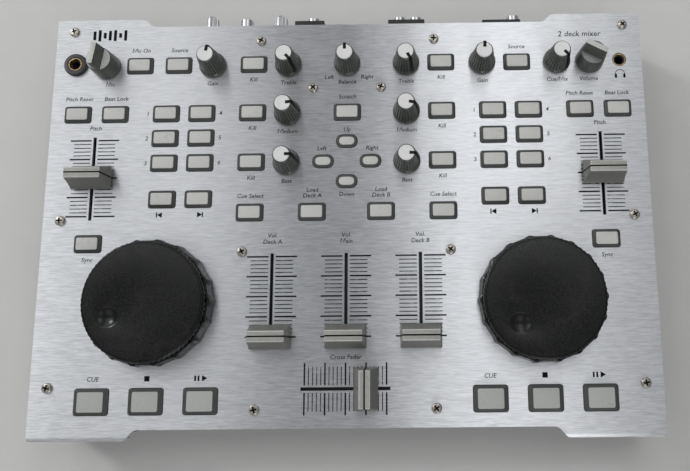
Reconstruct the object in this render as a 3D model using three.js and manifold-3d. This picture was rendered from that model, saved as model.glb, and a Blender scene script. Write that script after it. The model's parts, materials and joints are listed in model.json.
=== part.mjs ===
// A two-deck DJ controller: a brushed metal control plate on a shallow steel case, with keys, rotary
// knobs, slide faders and two jog wheels. Millimetres, +Z up, +X to the player's right, +Y away from
// the player. The origin is on the table, under the middle of the whole object.

import * as THREE from "three";
import { mergeVertices } from "three/addons/utils/BufferGeometryUtils.js";
import Module from "manifold-3d";

const wasm = await Module();
wasm.setup();

// ---------------------------------------------------------------- driving dimensions

// Control plate, measured from its own centre.
const plateWidth = 405;
const plateDepth = 287;
const plateThickness = 2;
const plateTop = 42;
const plateBottom = plateTop - plateThickness;
const frontNotch = { depth: 7.3, start: 132, end: 143.3 };
const rearNotch = { depth: 5.5, start: 134, end: 143.3 };
const lipRadius = 3.5;
const lipBottom = 34;

// Case, feet and boards.
const footHeight = 3;
const footRadius = 8;
const footAt = { x: 178, y: 118 };
const caseInset = 2.5;
const caseFront = 4;
const caseWall = 1.5;
const boardThickness = 1.6;
const controlBoardZ = 31;
const controlBoardTop = controlBoardZ + boardThickness;
const audioBoardZ = 8;
const audioBoardTop = audioBoardZ + boardThickness;

// Rows and columns of the control layout.
const topRowY = 109;
const secondRowY = 74;
const thirdRowY = 39;
const knobColumn = 40.5;
const gainX = 92.7;
const knobRowY = 108.5;
const knobRowStep = 35;
const killX = 64.5;
const padColumns = [99.2, 123.5];
const padRows = [secondRowY, 56.5, thirdRowY];
const skipY = 13.8;
const loadX = 23;
const loadY = 4.2;
const syncY = -16;
const transportX = [92.4, 127.3, 162.2];
const transportY = -118.6;

// How far two joined solids reach into each other.
const weld = 0.2;

// Keys: a straight shank in the plate's window, a sloped crown above it and a flange below it.
const keyWindowGap = 0.35;
const keyTravel = 1.2;
const keyFlange = 1.2;
const flangeTop = plateBottom - 0.6;
const flangeThickness = 1.4;
const flangeBottom = flangeTop - flangeThickness;
const switchGap = 0.2;
const switchTop = flangeBottom - keyTravel - switchGap;
const switchSize = 6;
const smallKey = { width: 18, depth: 11.6, corner: 1.5, crest: [13.7, 7.7], crown: 2.2 };
const navKey = { width: 14, depth: 9, corner: 3.8, crest: [9.8, 5.2], crown: 1.3 };
const bigKey = { width: 22, depth: 16.7, corner: 1.6, crest: [16.2, 12.2], crown: 2.2 };

// Rotary knobs.
const knobGap = 0.8;
const knobSkirtRadius = 9.2;
const knobSkirtHeight = 2.4;
const knobCapRadius = 5.3;
const knobTop = 17.6;
const shaftRadius = 3;
const shaftBottom = 38;
const shaftHoleRadius = 3.8;
const potTop = 37.4;
const potSize = 9.5;
const barKnob = { base: 9.5, top: 7.5, height: 20.5, floor: 12, barTop: 3.2, barFoot: 5.6 };

// Slide faders.
const slotWidth = 2.2;
const faderGap = 1.3;
const faderTop = 14.5;
const faderBase = { across: 26.8, along: 15.6 };
const faderCrest = { across: 23, along: 7.2 };
const faderStem = { across: 1.2, along: 4 };
const pitchSlot = { x: 171.25, y: 28.9, length: 57.8 };
const volumeSlot = { x: 48.8, y: -52.25, length: 57.3 };
const crossSlot = { y: -111.7, length: 57.4 };
const pitchRestY = 29.1;
const volumeRestY = -78.5;
const crossRestX = 13.2;
const slidePart = { wide: 8, longer: 12 };

// Jog wheels.
const jog = { x: 127, y: -55.7, gap: 1.5, height: 14.4, topRadius: 38.85, lugs: 18 };
const jogRim = { radius: 40.7, lugRadius: 41.7, lugAngle: 0.06, height: 8.6 };
const jogDimple = { offset: 23, depth: 2, radius: 6.6 };
const jogDimpleAngles = { left: 205, right: 224.5 };
const spindle = { radius: 4.9, bore: 5.2, top: 9, flange: 9, hole: 6.5 };

// Sockets in the plate.
const micJack = { x: -187.7, y: 110, hole: 4.9 };
const phonesJack = { x: 187.2, y: 109.2, hole: 4.85 };
const jackBore = 3.15;
const jackBody = { width: 14, bottom: 14, floor: 17, gap: 0.4 };
const micNeck = 4.6;
const phonesNeck = { radius: 4.4, sunk: 1 };
const micNut = { radius: 7.9, gap: 0.05, height: 2.2, neckSunk: 0.4 };

// Rear connectors: centre x, width, and how far each reaches in y.
const rearWallOuter = plateDepth / 2 - rearNotch.depth - caseInset;
const postReach = 154;
const groundPosts = [-100.4, -50.3];
const groundPost = { z: 25, neck: 2.2, radius: 4.6, headStart: 141 };
const phonoBlocks = [
  { x: -74.4, width: 12, reach: 138, sockets: [-74.4] },
  { x: -28.2, width: 21, reach: 146.5, sockets: [-26] },
  { x: 40.8, width: 26, reach: 146.5, sockets: [36, 47.6] },
  { x: 108.5, width: 27, reach: 145.5, sockets: [117.6] },
];
const phonoFront = 120;
const phonoTop = 33.4;
const phonoSocket = { radius: 4.6, reach: 150, rows: [27, 14.5] };
const postBase = { y: 126, width: 8, depth: 12, rise: 4, neckStart: 131 };
const controlCards = [
  { y: -13, width: 376, depth: 226 },
  { y: 108, width: 356, depth: 20 },
];
const audioCard = { y: 110, width: 258, depth: 40 };
const usbLift = 0.3;
const rearWindow = { gap: 0.8, depth: 5 };
const usb = { x: 76, width: 12, height: 11.2, front: 121, rear: 137, openWidth: 8.8, openHeight: 8.2 };

// ---------------------------------------------------------------- geometry helpers

// A closed three.js geometry as a solid that can be joined and cut.
function solid(geometry) {
  const bare = geometry.index ? geometry.toNonIndexed() : geometry.clone();
  bare.deleteAttribute("normal");
  bare.deleteAttribute("uv");
  const merged = mergeVertices(bare, 1e-4);
  const mesh = new wasm.Mesh({
    numProp: 3,
    vertProperties: merged.attributes.position.array,
    triVerts: new Uint32Array(merged.index.array),
  });
  return new wasm.Manifold(mesh);
}

// A joined or cut solid back as a three.js geometry.
function geometryOf(body) {
  const mesh = body.getMesh();
  const points = new Float32Array(mesh.numVert * 3);
  for (let i = 0; i < mesh.numVert; i++) {
    points.set(mesh.vertProperties.subarray(i * mesh.numProp, i * mesh.numProp + 3), i * 3);
  }
  const geometry = new THREE.BufferGeometry();
  geometry.setAttribute("position", new THREE.BufferAttribute(points, 3));
  geometry.setIndex(new THREE.BufferAttribute(mesh.triVerts, 1));
  geometry.computeVertexNormals();
  return geometry;
}

function join(bodies) {
  return bodies.reduce((sum, body) => sum.add(body));
}

// A block given by its middle in x and y and by its lower and upper z.
function block(x, y, width, depth, low, high) {
  const geometry = new THREE.BoxGeometry(width, depth, high - low);
  return solid(geometry.translate(x, y, (low + high) / 2));
}

// An upright frustum with a rectangular foot and a smaller rectangular crest.
function hip(x, y, foot, crest, low, high) {
  const geometry = new THREE.BoxGeometry(foot[0], foot[1], high - low);
  const points = geometry.attributes.position;
  for (let i = 0; i < points.count; i++) {
    if (points.getZ(i) > 0) {
      points.setXY(i, Math.sign(points.getX(i)) * crest[0] / 2, Math.sign(points.getY(i)) * crest[1] / 2);
    }
  }
  return solid(geometry.translate(x, y, (low + high) / 2));
}

// An upright round bar.
function upright(x, y, radius, low, high, sides) {
  const geometry = new THREE.CylinderGeometry(radius, radius, high - low, sides);
  return solid(geometry.rotateX(Math.PI / 2).translate(x, y, (low + high) / 2));
}

// A round bar along y.
function lengthwise(x, z, radius, front, rear, sides) {
  const geometry = new THREE.CylinderGeometry(radius, radius, rear - front, sides);
  return solid(geometry.translate(x, (front + rear) / 2, z));
}

// A profile of [radius, z] points turned about the z axis.
function turned(profile, sides) {
  const points = profile.map(([radius, z]) => new THREE.Vector2(radius, z));
  return solid(new THREE.LatheGeometry(points, sides).rotateX(Math.PI / 2));
}

// A flat outline pulled up from low to high.
function prism(shape, low, high, curveSegments = 6) {
  const geometry = new THREE.ExtrudeGeometry(shape, {
    depth: high - low,
    bevelEnabled: false,
    curveSegments,
  });
  return solid(geometry.translate(0, 0, low));
}

// A rectangle with round corners, each made of short chords.
function softRectangle(x, y, width, depth, corner) {
  const chords = 3;
  const points = [];
  for (let quarter = 0; quarter < 4; quarter++) {
    const sideX = quarter === 0 || quarter === 3 ? 1 : -1;
    const sideY = quarter < 2 ? 1 : -1;
    for (let k = 0; k <= chords; k++) {
      const angle = (quarter + k / chords) * Math.PI / 2;
      points.push(new THREE.Vector2(
        x + sideX * (width / 2 - corner) + corner * Math.cos(angle),
        y + sideY * (depth / 2 - corner) + corner * Math.sin(angle),
      ));
    }
  }
  return new THREE.Shape(points);
}

// ---------------------------------------------------------------- the plate and its case

// The controller's outline, drawn in by inset, or by frontInset at the front: a rectangle whose front
// and rear edges step back between the wings, each step a smooth S.
function consoleOutline(inset, frontInset = inset) {
  const halfWidth = plateWidth / 2 - inset;
  const front = -plateDepth / 2 + frontInset;
  const rear = plateDepth / 2 - inset;
  const frontMiddle = front + frontNotch.depth;
  const rearMiddle = rear - rearNotch.depth;
  const frontBend = (frontNotch.start + frontNotch.end) / 2;
  const rearBend = (rearNotch.start + rearNotch.end) / 2;
  const shape = new THREE.Shape();
  shape.moveTo(-halfWidth, front);
  shape.lineTo(-frontNotch.end, front);
  shape.bezierCurveTo(-frontBend, front, -frontBend, frontMiddle, -frontNotch.start, frontMiddle);
  shape.lineTo(frontNotch.start, frontMiddle);
  shape.bezierCurveTo(frontBend, frontMiddle, frontBend, front, frontNotch.end, front);
  shape.lineTo(halfWidth, front);
  shape.lineTo(halfWidth, rear);
  shape.lineTo(rearNotch.end, rear);
  shape.bezierCurveTo(rearBend, rear, rearBend, rearMiddle, rearNotch.start, rearMiddle);
  shape.lineTo(-rearNotch.start, rearMiddle);
  shape.bezierCurveTo(-rearBend, rearMiddle, -rearBend, rear, -rearNotch.end, rear);
  shape.lineTo(-halfWidth, rear);
  shape.closePath();
  return shape;
}

// The sheet before it is cut to outline: flat, with its front edge bent down into a lip. Its section
// is drawn in y and z and runs along x.
function bentSheet() {
  const front = -plateDepth / 2;
  const rear = plateDepth / 2 + 1;
  const innerRadius = lipRadius - plateThickness;
  const bendY = front + lipRadius;
  const bendZ = plateTop - lipRadius;
  const section = new THREE.Shape();
  section.moveTo(rear, plateBottom);
  section.lineTo(rear, plateTop);
  section.lineTo(bendY, plateTop);
  section.absarc(bendY, bendZ, lipRadius, Math.PI / 2, Math.PI, false);
  section.lineTo(front, lipBottom);
  section.lineTo(front + plateThickness, lipBottom);
  section.lineTo(front + plateThickness, bendZ);
  section.absarc(bendY, bendZ, innerRadius, Math.PI, Math.PI / 2, true);
  section.closePath();
  const geometry = new THREE.ExtrudeGeometry(section, {
    depth: plateWidth + 2,
    bevelEnabled: false,
    curveSegments: 3,
  });
  // The section's x becomes y, its y becomes z and the pull becomes x.
  geometry.rotateX(Math.PI / 2).rotateZ(Math.PI / 2);
  return solid(geometry.translate(-plateWidth / 2 - 1, 0, 0));
}

// ---------------------------------------------------------------- keys

// Every key: its node, its middle, and its kind. Keys that share a node share one moulded mat.
function keyLayout() {
  const groups = [];
  const group = (node, form, places) => groups.push({ node, form, places });
  for (const [side, sign] of [["left", -1], ["right", 1]]) {
    group(`keys_kill_${side}`, smallKey, [topRowY, secondRowY, thirdRowY].map((y) => [sign * killX, y]));
    const pads = padRows.flatMap((y) => padColumns.map((x) => [sign * x, y]));
    group(`keys_pads_${side}`, smallKey, pads);
    group(`keys_skip_${side}`, smallKey, padColumns.map((x) => [sign * x, skipY]));
    group(`keys_pitch_${side}`, smallKey, [[sign * 184, secondRowY], [sign * 158.5, secondRowY]]);
    group(`key_sync_${side}`, smallKey, [[sign * pitchSlot.x, syncY]]);
    group(`key_cue_select_${side}`, smallKey, [[sign * killX, loadY]]);
    group(`key_load_${side}`, smallKey, [[sign * loadX, loadY]]);
    const transportXs = sign < 0 ? transportX.map((x) => -x).reverse() : transportX;
    ["cue", "stop", "play"].forEach((name, i) => {
      group(`key_${name}_${side}`, bigKey, [[transportXs[i], transportY]]);
    });
  }
  group("keys_input_left", smallKey, [[-143.2, topRowY], [-116.5, topRowY]]);
  group("key_source_right", smallKey, [[116.7, 108.5]]);
  group("key_scratch", smallKey, [[0.2, 73.6]]);
  group("key_nav_up", navKey, [[0, 53]]);
  group("key_nav_down", navKey, [[0, 25]]);
  group("key_nav_left", navKey, [[-16, thirdRowY]]);
  group("key_nav_right", navKey, [[16, thirdRowY]]);
  return groups;
}

// The hole that a key stands in, with the same round corners as the key.
function keyWindow(form, x, y, low, high) {
  const width = form.width + 2 * keyWindowGap;
  const depth = form.depth + 2 * keyWindowGap;
  return prism(softRectangle(x, y, width, depth, form.corner + keyWindowGap), low, high);
}

// A key's crown: its round-cornered foot drawn in evenly to a smaller crest.
function keyCrown(form, x, y, low, high) {
  const foot = softRectangle(0, 0, form.width, form.depth, form.corner);
  const geometry = new THREE.ExtrudeGeometry(foot, { depth: high - low, bevelEnabled: false });
  const points = geometry.attributes.position;
  const drawn = [form.crest[0] / form.width, form.crest[1] / form.depth];
  for (let i = 0; i < points.count; i++) {
    if (points.getZ(i) > (high - low) / 2) {
      points.setXY(i, points.getX(i) * drawn[0], points.getY(i) * drawn[1]);
    }
  }
  return solid(geometry.translate(x, y, low));
}

function keyCap(form, x, y) {
  const shank = softRectangle(x, y, form.width, form.depth, form.corner);
  return join([
    prism(shank, flangeTop - weld, plateTop),
    keyCrown(form, x, y, plateTop, plateTop + form.crown),
  ]);
}

// One mat: the caps of its keys on a flange that keeps them behind the plate.
function keyMat({ form, places }) {
  const xs = places.map(([x]) => x);
  const ys = places.map(([, y]) => y);
  const reachX = form.width / 2 + keyFlange;
  const reachY = form.depth / 2 + keyFlange;
  const low = [Math.min(...xs) - reachX, Math.min(...ys) - reachY];
  const high = [Math.max(...xs) + reachX, Math.max(...ys) + reachY];
  const middle = [(low[0] + high[0]) / 2, (low[1] + high[1]) / 2];
  const flange = block(...middle, high[0] - low[0], high[1] - low[1], flangeBottom, flangeTop);
  return join([flange, ...places.map(([x, y]) => keyCap(form, x, y))]);
}

// ---------------------------------------------------------------- knobs

// Every knob: its node, its middle and how far its pointer is turned clockwise from straight ahead.
function knobLayout() {
  const knobs = [
    { node: "knob_balance", x: 0, y: knobRowY, turn: 0 },
    { node: "knob_cue_mix", x: 144, y: knobRowY, turn: 135 },
    { node: "knob_mic_volume", x: -166.5, y: 108.7, turn: 9, bar: true },
    { node: "knob_phones_volume", x: 166.5, y: 108.7, turn: -62, bar: true },
  ];
  const turns = {
    left: { gain: 13, treble: 139, mid: 84, bass: 90 },
    right: { gain: 5, treble: 148, mid: 99.5, bass: 93 },
  };
  for (const [side, sign] of [["left", -1], ["right", 1]]) {
    knobs.push({ node: `knob_gain_${side}`, x: sign * gainX, y: knobRowY, turn: turns[side].gain });
    ["treble", "mid", "bass"].forEach((band, row) => {
      const y = knobRowY - row * knobRowStep;
      knobs.push({ node: `knob_${band}_${side}`, x: sign * knobColumn, y, turn: turns[side][band] });
    });
  }
  return knobs;
}

// A conical knob with a pointer ridge at +Y, in heights above the plate, about its own axis.
function coneKnob() {
  const body = turned([
    [0, shaftBottom - plateTop],
    [shaftRadius, shaftBottom - plateTop],
    [shaftRadius, knobGap],
    [knobSkirtRadius, knobGap],
    [knobSkirtRadius, knobSkirtHeight],
    [knobCapRadius + 0.5, knobTop - 0.6],
    [knobCapRadius, knobTop],
    [0, knobTop],
  ], 14);
  const ridge = block(0, knobCapRadius - 1.1, 1.3, 2.6, knobTop - 3, knobTop + 0.3);
  return body.add(ridge);
}

// A knob whose crown is scooped away on both sides of a narrow grip bar that lies along Y.
function gripKnob() {
  const body = turned([
    [0, shaftBottom - plateTop],
    [shaftRadius, shaftBottom - plateTop],
    [shaftRadius, knobGap],
    [barKnob.base, knobGap],
    [barKnob.top, barKnob.height],
    [0, barKnob.height],
  ], 24);
  const reach = 2 * barKnob.base;
  const scoops = [-1, 1].map((side) => {
    const scoop = new THREE.Shape();
    scoop.moveTo(side * barKnob.barFoot / 2, barKnob.floor);
    scoop.lineTo(side * reach, barKnob.floor);
    scoop.lineTo(side * reach, barKnob.height + 1);
    scoop.lineTo(side * (barKnob.barTop / 2), barKnob.height + 1);
    scoop.closePath();
    const geometry = new THREE.ExtrudeGeometry(scoop, { depth: 2 * reach, bevelEnabled: false });
    return solid(geometry.translate(0, 0, -reach).rotateX(Math.PI / 2));
  });
  return scoops.reduce((rest, scoop) => rest.subtract(scoop), body);
}

// ---------------------------------------------------------------- faders

// Every fader: its node, where its cap rests and whether it runs along x or y.
function faderLayout() {
  const faders = [{ node: "crossfader", x: crossRestX, y: crossSlot.y, runs: "x" }];
  for (const [side, sign] of [["left", -1], ["right", 1]]) {
    faders.push({ node: `fader_pitch_${side}`, x: sign * pitchSlot.x, y: pitchRestY, runs: "y" });
    faders.push({ node: `fader_volume_${side}`, x: sign * volumeSlot.x, y: volumeRestY, runs: "y" });
  }
  faders.push({ node: "fader_volume_main", x: 0, y: volumeRestY, runs: "y" });
  return faders;
}

// Every slot: its middle, its length and its direction.
function slotLayout() {
  const slots = [{ x: 0, y: crossSlot.y, length: crossSlot.length, runs: "x" }];
  for (const sign of [-1, 1]) {
    slots.push({ x: sign * pitchSlot.x, y: pitchSlot.y, length: pitchSlot.length, runs: "y" });
    slots.push({ x: sign * volumeSlot.x, y: volumeSlot.y, length: volumeSlot.length, runs: "y" });
  }
  slots.push({ x: 0, y: volumeSlot.y, length: volumeSlot.length, runs: "y" });
  return slots;
}

// A cap that is long across its slot, with the blade that reaches down through the slot.
function faderCap(runs) {
  const spread = ({ across, along }) => (runs === "y" ? [across, along] : [along, across]);
  const stem = spread(faderStem);
  return join([
    hip(0, 0, spread(faderBase), spread(faderCrest), faderGap, faderTop),
    block(0, 0, stem[0], stem[1], shaftBottom - plateTop, faderGap + 0.5),
  ]);
}

// ---------------------------------------------------------------- jog wheels

// The rim's outline: straight facets between small lugs.
function lugOutline() {
  const shape = new THREE.Shape();
  const step = (Math.PI * 2) / jog.lugs;
  const corners = [
    [-jogRim.lugAngle * 1.5, jogRim.radius],
    [-jogRim.lugAngle / 2, jogRim.lugRadius],
    [jogRim.lugAngle / 2, jogRim.lugRadius],
    [jogRim.lugAngle * 1.5, jogRim.radius],
  ];
  for (let lug = 0; lug < jog.lugs; lug++) {
    corners.forEach(([offset, radius], k) => {
      const angle = lug * step + offset;
      const x = radius * Math.cos(angle);
      const y = radius * Math.sin(angle);
      if (lug === 0 && k === 0) {
        shape.moveTo(x, y);
      } else {
        shape.lineTo(x, y);
      }
    });
  }
  shape.closePath();
  return shape;
}

// A wheel about its own axis, with a bore for the spindle and a finger dimple in its top.
function jogWheel(dimpleAngle) {
  const boreTop = spindle.top + 0.5;
  const drum = turned([
    [0, boreTop],
    [spindle.bore, boreTop],
    [spindle.bore, jog.gap],
    [jog.topRadius + 0.6, jog.gap],
    [jog.topRadius + 0.6, jog.height - 1.2],
    [jog.topRadius, jog.height],
    [0, jog.height],
  ], 36);
  const bore = upright(0, 0, spindle.bore, jog.gap - 1, boreTop, 36);
  const rim = prism(lugOutline(), jog.gap, jog.gap + jogRim.height).subtract(bore);
  const turn = THREE.MathUtils.degToRad(dimpleAngle);
  const ball = (jogDimple.radius ** 2 + jogDimple.depth ** 2) / (2 * jogDimple.depth);
  const cap = new THREE.SphereGeometry(ball, 24, 24);
  cap.rotateX(Math.PI / 2);
  cap.translate(
    jogDimple.offset * Math.cos(turn),
    jogDimple.offset * Math.sin(turn),
    jog.height - jogDimple.depth + ball,
  );
  return drum.add(rim).subtract(solid(cap));
}

function jogSpindle() {
  return turned([
    [0, controlBoardTop + 0.4 - plateTop],
    [spindle.flange, controlBoardTop + 0.4 - plateTop],
    [spindle.flange, controlBoardTop + 2.4 - plateTop],
    [spindle.radius, controlBoardTop + 2.4 - plateTop],
    [spindle.radius, spindle.top],
    [0, spindle.top],
  ], 24);
}

// ---------------------------------------------------------------- sockets, boards and feet

// A 6.35 mm socket standing under the plate: a square body, a round neck and an open bore.
function jackSocket({ x, y }, neckRadius, neckTop) {
  const width = jackBody.width;
  const body = join([
    block(x, y, width, width, jackBody.bottom, plateBottom - jackBody.gap),
    upright(x, y, neckRadius, plateBottom - 1, neckTop, 16),
  ]);
  return body.subtract(upright(x, y, jackBore, jackBody.floor, neckTop + 1, 12));
}

// The nut stands on the plate and is screwed to the neck.
function micSocket() {
  const { x, y } = micJack;
  const nutBottom = plateTop + micNut.gap;
  const nutTop = plateTop + micNut.height;
  const nut = upright(x, y, micNut.radius, nutBottom, nutTop, 24);
  const bore = upright(x, y, jackBore, nutBottom - 1, nutTop + 1, 12);
  return jackSocket(micJack, micNeck, nutTop - micNut.neckSunk).add(nut.subtract(bore));
}

function phonesSocket() {
  return jackSocket(phonesJack, phonesNeck.radius, plateTop - phonesNeck.sunk);
}

// The board under the plate carries a switch under every key, a rotary part under every knob and a
// slide part under every slot.
function controlBoard(keys, knobs, slots) {
  const low = controlBoardTop - weld;
  const parts = controlCards.map(({ y, width, depth }) => (
    block(0, y, width, depth, controlBoardZ, controlBoardTop)
  ));
  for (const { places } of keys) {
    parts.push(...places.map(([x, y]) => block(x, y, switchSize, switchSize, low, switchTop)));
  }
  for (const { x, y } of knobs) {
    parts.push(block(x, y, potSize, potSize, low, potTop));
  }
  for (const { x, y, length, runs } of slots) {
    const long = length + slidePart.longer;
    const size = runs === "x" ? [long, slidePart.wide] : [slidePart.wide, long];
    parts.push(block(x, y, ...size, low, potTop));
  }
  return join(parts);
}

// The board behind the rear wall carries the phono sockets and the ground posts.
function audioBoard() {
  const low = audioBoardTop - weld;
  const card = audioCard;
  const parts = [block(0, card.y, card.width, card.depth, audioBoardZ, audioBoardTop)];
  for (const { x, width, reach, sockets } of phonoBlocks) {
    const depth = reach - phonoFront;
    parts.push(block(x, phonoFront + depth / 2, width, depth, low, phonoTop));
    for (const socketX of sockets) {
      for (const z of phonoSocket.rows) {
        parts.push(lengthwise(socketX, z, phonoSocket.radius, reach - 1, phonoSocket.reach, 10));
      }
    }
  }
  const { z, neck, radius, headStart } = groundPost;
  for (const x of groundPosts) {
    parts.push(block(x, postBase.y, postBase.width, postBase.depth, low, z + postBase.rise));
    parts.push(lengthwise(x, z, neck, postBase.neckStart, headStart + 1, 8));
    parts.push(lengthwise(x, z, radius, headStart, postReach, 12));
  }
  return join(parts);
}

// A square data socket, open to the rear.
function usbPort() {
  const { x, width, height, front, rear, openWidth, openHeight } = usb;
  const low = audioBoardTop + usbLift;
  const middle = low + height / 2;
  const half = openHeight / 2;
  const mouthFront = front + 2;
  const mouthRear = rear + 1;
  const mouthY = (mouthFront + mouthRear) / 2;
  const shell = block(x, (front + rear) / 2, width, rear - front, low, low + height);
  const mouth = block(x, mouthY, openWidth, mouthRear - mouthFront, middle - half, middle + half);
  return shell.subtract(mouth);
}

// The shallow case: a floor and walls inside the plate's outline, with windows in the rear wall.
function bottomCase() {
  const shell = prism(consoleOutline(caseInset, caseFront), footHeight, plateBottom);
  const hollow = consoleOutline(caseInset + caseWall, caseFront + caseWall);
  const inside = prism(hollow, footHeight + caseWall, plateBottom + 1);
  const wallMiddle = rearWallOuter - caseWall / 2;
  const { gap, depth } = rearWindow;
  const window = (x, width, low, high) => (
    block(x, wallMiddle, width + gap, depth, low - gap / 2, high + gap / 2)
  );
  const usbLow = audioBoardTop + usbLift;
  const { z, neck } = groundPost;
  const windows = [
    ...phonoBlocks.map(({ x, width }) => window(x, width, audioBoardTop, phonoTop)),
    ...groundPosts.map((x) => window(x, 2 * neck, z - neck, z + neck)),
    window(usb.x, usb.width, usbLow, usbLow + usb.height),
  ];
  return windows.reduce((rest, opening) => rest.subtract(opening), shell.subtract(inside));
}

function topPlate(keys, knobs, slots) {
  const low = lipBottom;
  const high = plateTop + 1;
  const cuts = [];
  for (const { form, places } of keys) {
    cuts.push(...places.map(([x, y]) => keyWindow(form, x, y, low, high)));
  }
  cuts.push(...knobs.map(({ x, y }) => upright(x, y, shaftHoleRadius, low, high, 12)));
  for (const { x, y, length, runs } of slots) {
    const size = runs === "x" ? [length, slotWidth] : [slotWidth, length];
    cuts.push(block(x, y, ...size, low, high));
  }
  cuts.push(...[-jog.x, jog.x].map((x) => upright(x, jog.y, spindle.hole, low, high, 16)));
  cuts.push(...[micJack, phonesJack].map(({ x, y, hole }) => upright(x, y, hole, low, high, 16)));
  const sheet = bentSheet().intersect(prism(consoleOutline(0), lipBottom - 1, plateTop + 1));
  return sheet.subtract(join(cuts));
}

// ---------------------------------------------------------------- materials

function finish(color, roughness, metalness) {
  return () => new THREE.MeshStandardMaterial({ color, roughness, metalness });
}

const brushedAluminium = finish(0xc4c6cc, 0.35, 1);
const blackSteel = finish(0x1c1d1f, 0.55, 0.4);
const greyRubber = finish(0x5a5c58, 0.8, 0);
const silverCap = finish(0xb8b9bd, 0.4, 0.6);
const charcoal = finish(0x33363a, 0.6, 0);
const jogPlastic = finish(0x1a1c1b, 0.45, 0);
const polishedSteel = finish(0xbfc0c2, 0.25, 1);
const boardGreen = finish(0x1f5a34, 0.6, 0);
const blackPlastic = finish(0x161616, 0.5, 0);
const footRubber = finish(0x101010, 0.9, 0);

// ---------------------------------------------------------------- assembly

// Everything is laid out from the plate's centre, then moved so that the whole object, with its
// rear connectors, is centred over the origin.
const controller = new THREE.Group();
const layout = new THREE.Group();
layout.position.y = -(postReach - plateDepth / 2) / 2;
controller.add(layout);

function add(node, body, material, x = 0, y = 0, z = 0, turn = 0) {
  const mesh = new THREE.Mesh(geometryOf(body), material());
  mesh.name = node;
  mesh.position.set(x, y, z);
  mesh.rotation.z = turn;
  layout.add(mesh);
}

const keys = keyLayout();
const knobs = knobLayout();
const slots = slotLayout();

add("top_plate", topPlate(keys, knobs, slots), brushedAluminium);
add("bottom_case", bottomCase(), blackSteel);
add("control_board", controlBoard(keys, knobs, slots), boardGreen);
add("audio_board", audioBoard(), boardGreen);
add("usb_port", usbPort(), polishedSteel);
add("mic_jack", micSocket(), blackPlastic);
add("phones_jack", phonesSocket(), blackPlastic);

for (const mat of keys) {
  add(mat.node, keyMat(mat), greyRubber);
}

for (const { node, x, y, turn, bar } of knobs) {
  const body = bar ? gripKnob() : coneKnob();
  add(node, body, charcoal, x, y, plateTop, -THREE.MathUtils.degToRad(turn));
}

for (const { node, x, y, runs } of faderLayout()) {
  add(node, faderCap(runs), silverCap, x, y, plateTop);
}

for (const [side, sign] of [["left", -1], ["right", 1]]) {
  add(`jog_wheel_${side}`, jogWheel(jogDimpleAngles[side]), jogPlastic, sign * jog.x, jog.y, plateTop);
  add(`jog_spindle_${side}`, jogSpindle(), polishedSteel, sign * jog.x, jog.y, plateTop);
  for (const [end, way] of [["front", -1], ["rear", 1]]) {
    const foot = upright(sign * footAt.x, way * footAt.y, footRadius, 0, footHeight, 20);
    add(`foot_${end}_${side}`, foot, footRubber);
  }
}

export default controller;
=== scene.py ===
"""A two-deck DJ controller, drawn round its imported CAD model.

Pieces are modelled in millimetres from the middle of the control plate's top face, and are put into
the model's own frame, in metres, when they are finished.
"""

import json
import math

import bmesh
import bpy
from mathutils import Matrix, Vector

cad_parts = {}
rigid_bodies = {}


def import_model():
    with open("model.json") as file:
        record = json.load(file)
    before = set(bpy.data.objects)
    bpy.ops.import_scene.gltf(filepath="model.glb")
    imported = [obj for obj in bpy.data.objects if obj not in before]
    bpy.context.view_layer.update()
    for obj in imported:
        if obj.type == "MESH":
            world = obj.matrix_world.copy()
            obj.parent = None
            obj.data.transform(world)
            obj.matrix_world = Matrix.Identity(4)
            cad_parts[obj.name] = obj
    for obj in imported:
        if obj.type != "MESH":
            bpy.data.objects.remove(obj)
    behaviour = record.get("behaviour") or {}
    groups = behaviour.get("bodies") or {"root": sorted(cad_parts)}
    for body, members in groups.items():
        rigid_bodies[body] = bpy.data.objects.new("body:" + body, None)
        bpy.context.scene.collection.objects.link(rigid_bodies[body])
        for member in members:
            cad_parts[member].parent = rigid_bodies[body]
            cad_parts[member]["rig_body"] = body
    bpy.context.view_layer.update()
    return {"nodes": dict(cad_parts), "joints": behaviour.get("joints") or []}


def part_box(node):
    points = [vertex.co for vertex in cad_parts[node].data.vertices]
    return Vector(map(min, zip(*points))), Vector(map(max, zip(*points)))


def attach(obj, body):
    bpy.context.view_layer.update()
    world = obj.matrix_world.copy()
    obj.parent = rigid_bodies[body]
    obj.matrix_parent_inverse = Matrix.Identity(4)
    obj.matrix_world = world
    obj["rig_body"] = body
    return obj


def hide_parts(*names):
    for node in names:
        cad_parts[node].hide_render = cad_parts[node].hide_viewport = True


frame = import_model()

bl_info = {
    "name": "DJ Controller",
    "version": (1, 0, 0),
    "blender": (4, 5, 0),
    "location": "3D View > Sidebar > DJ Controller",
    "description": "Builds the pieces, finishes and stage of a two-deck DJ controller",
    "category": "Add Mesh",
}

MM = 0.001
SIDES = (("left", -1), ("right", 1))


def plate_middle():
    low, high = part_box("top_plate")
    return Vector(((low.x + high.x) / 2, (low.y + high.y) / 2, high.z))


DECK = plate_middle()
TO_ROW = Matrix.Translation(DECK) @ Matrix.Scale(MM, 4)
FROM_ROW = TO_ROW.inverted()
JOINTS = {joint["child"]: joint for joint in frame["joints"]}
KEY_NODES = sorted(name for name in frame["nodes"] if name.startswith("key"))
CONE_KNOBS = sorted(
    name for name in frame["nodes"] if name.startswith("knob") and "volume" not in name
)
GRIP_KNOBS = ["knob_mic_volume", "knob_phones_volume"]
FADERS = sorted(name for name in frame["nodes"] if "fader" in name)
TABLE = FROM_ROW.translation.z

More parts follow.
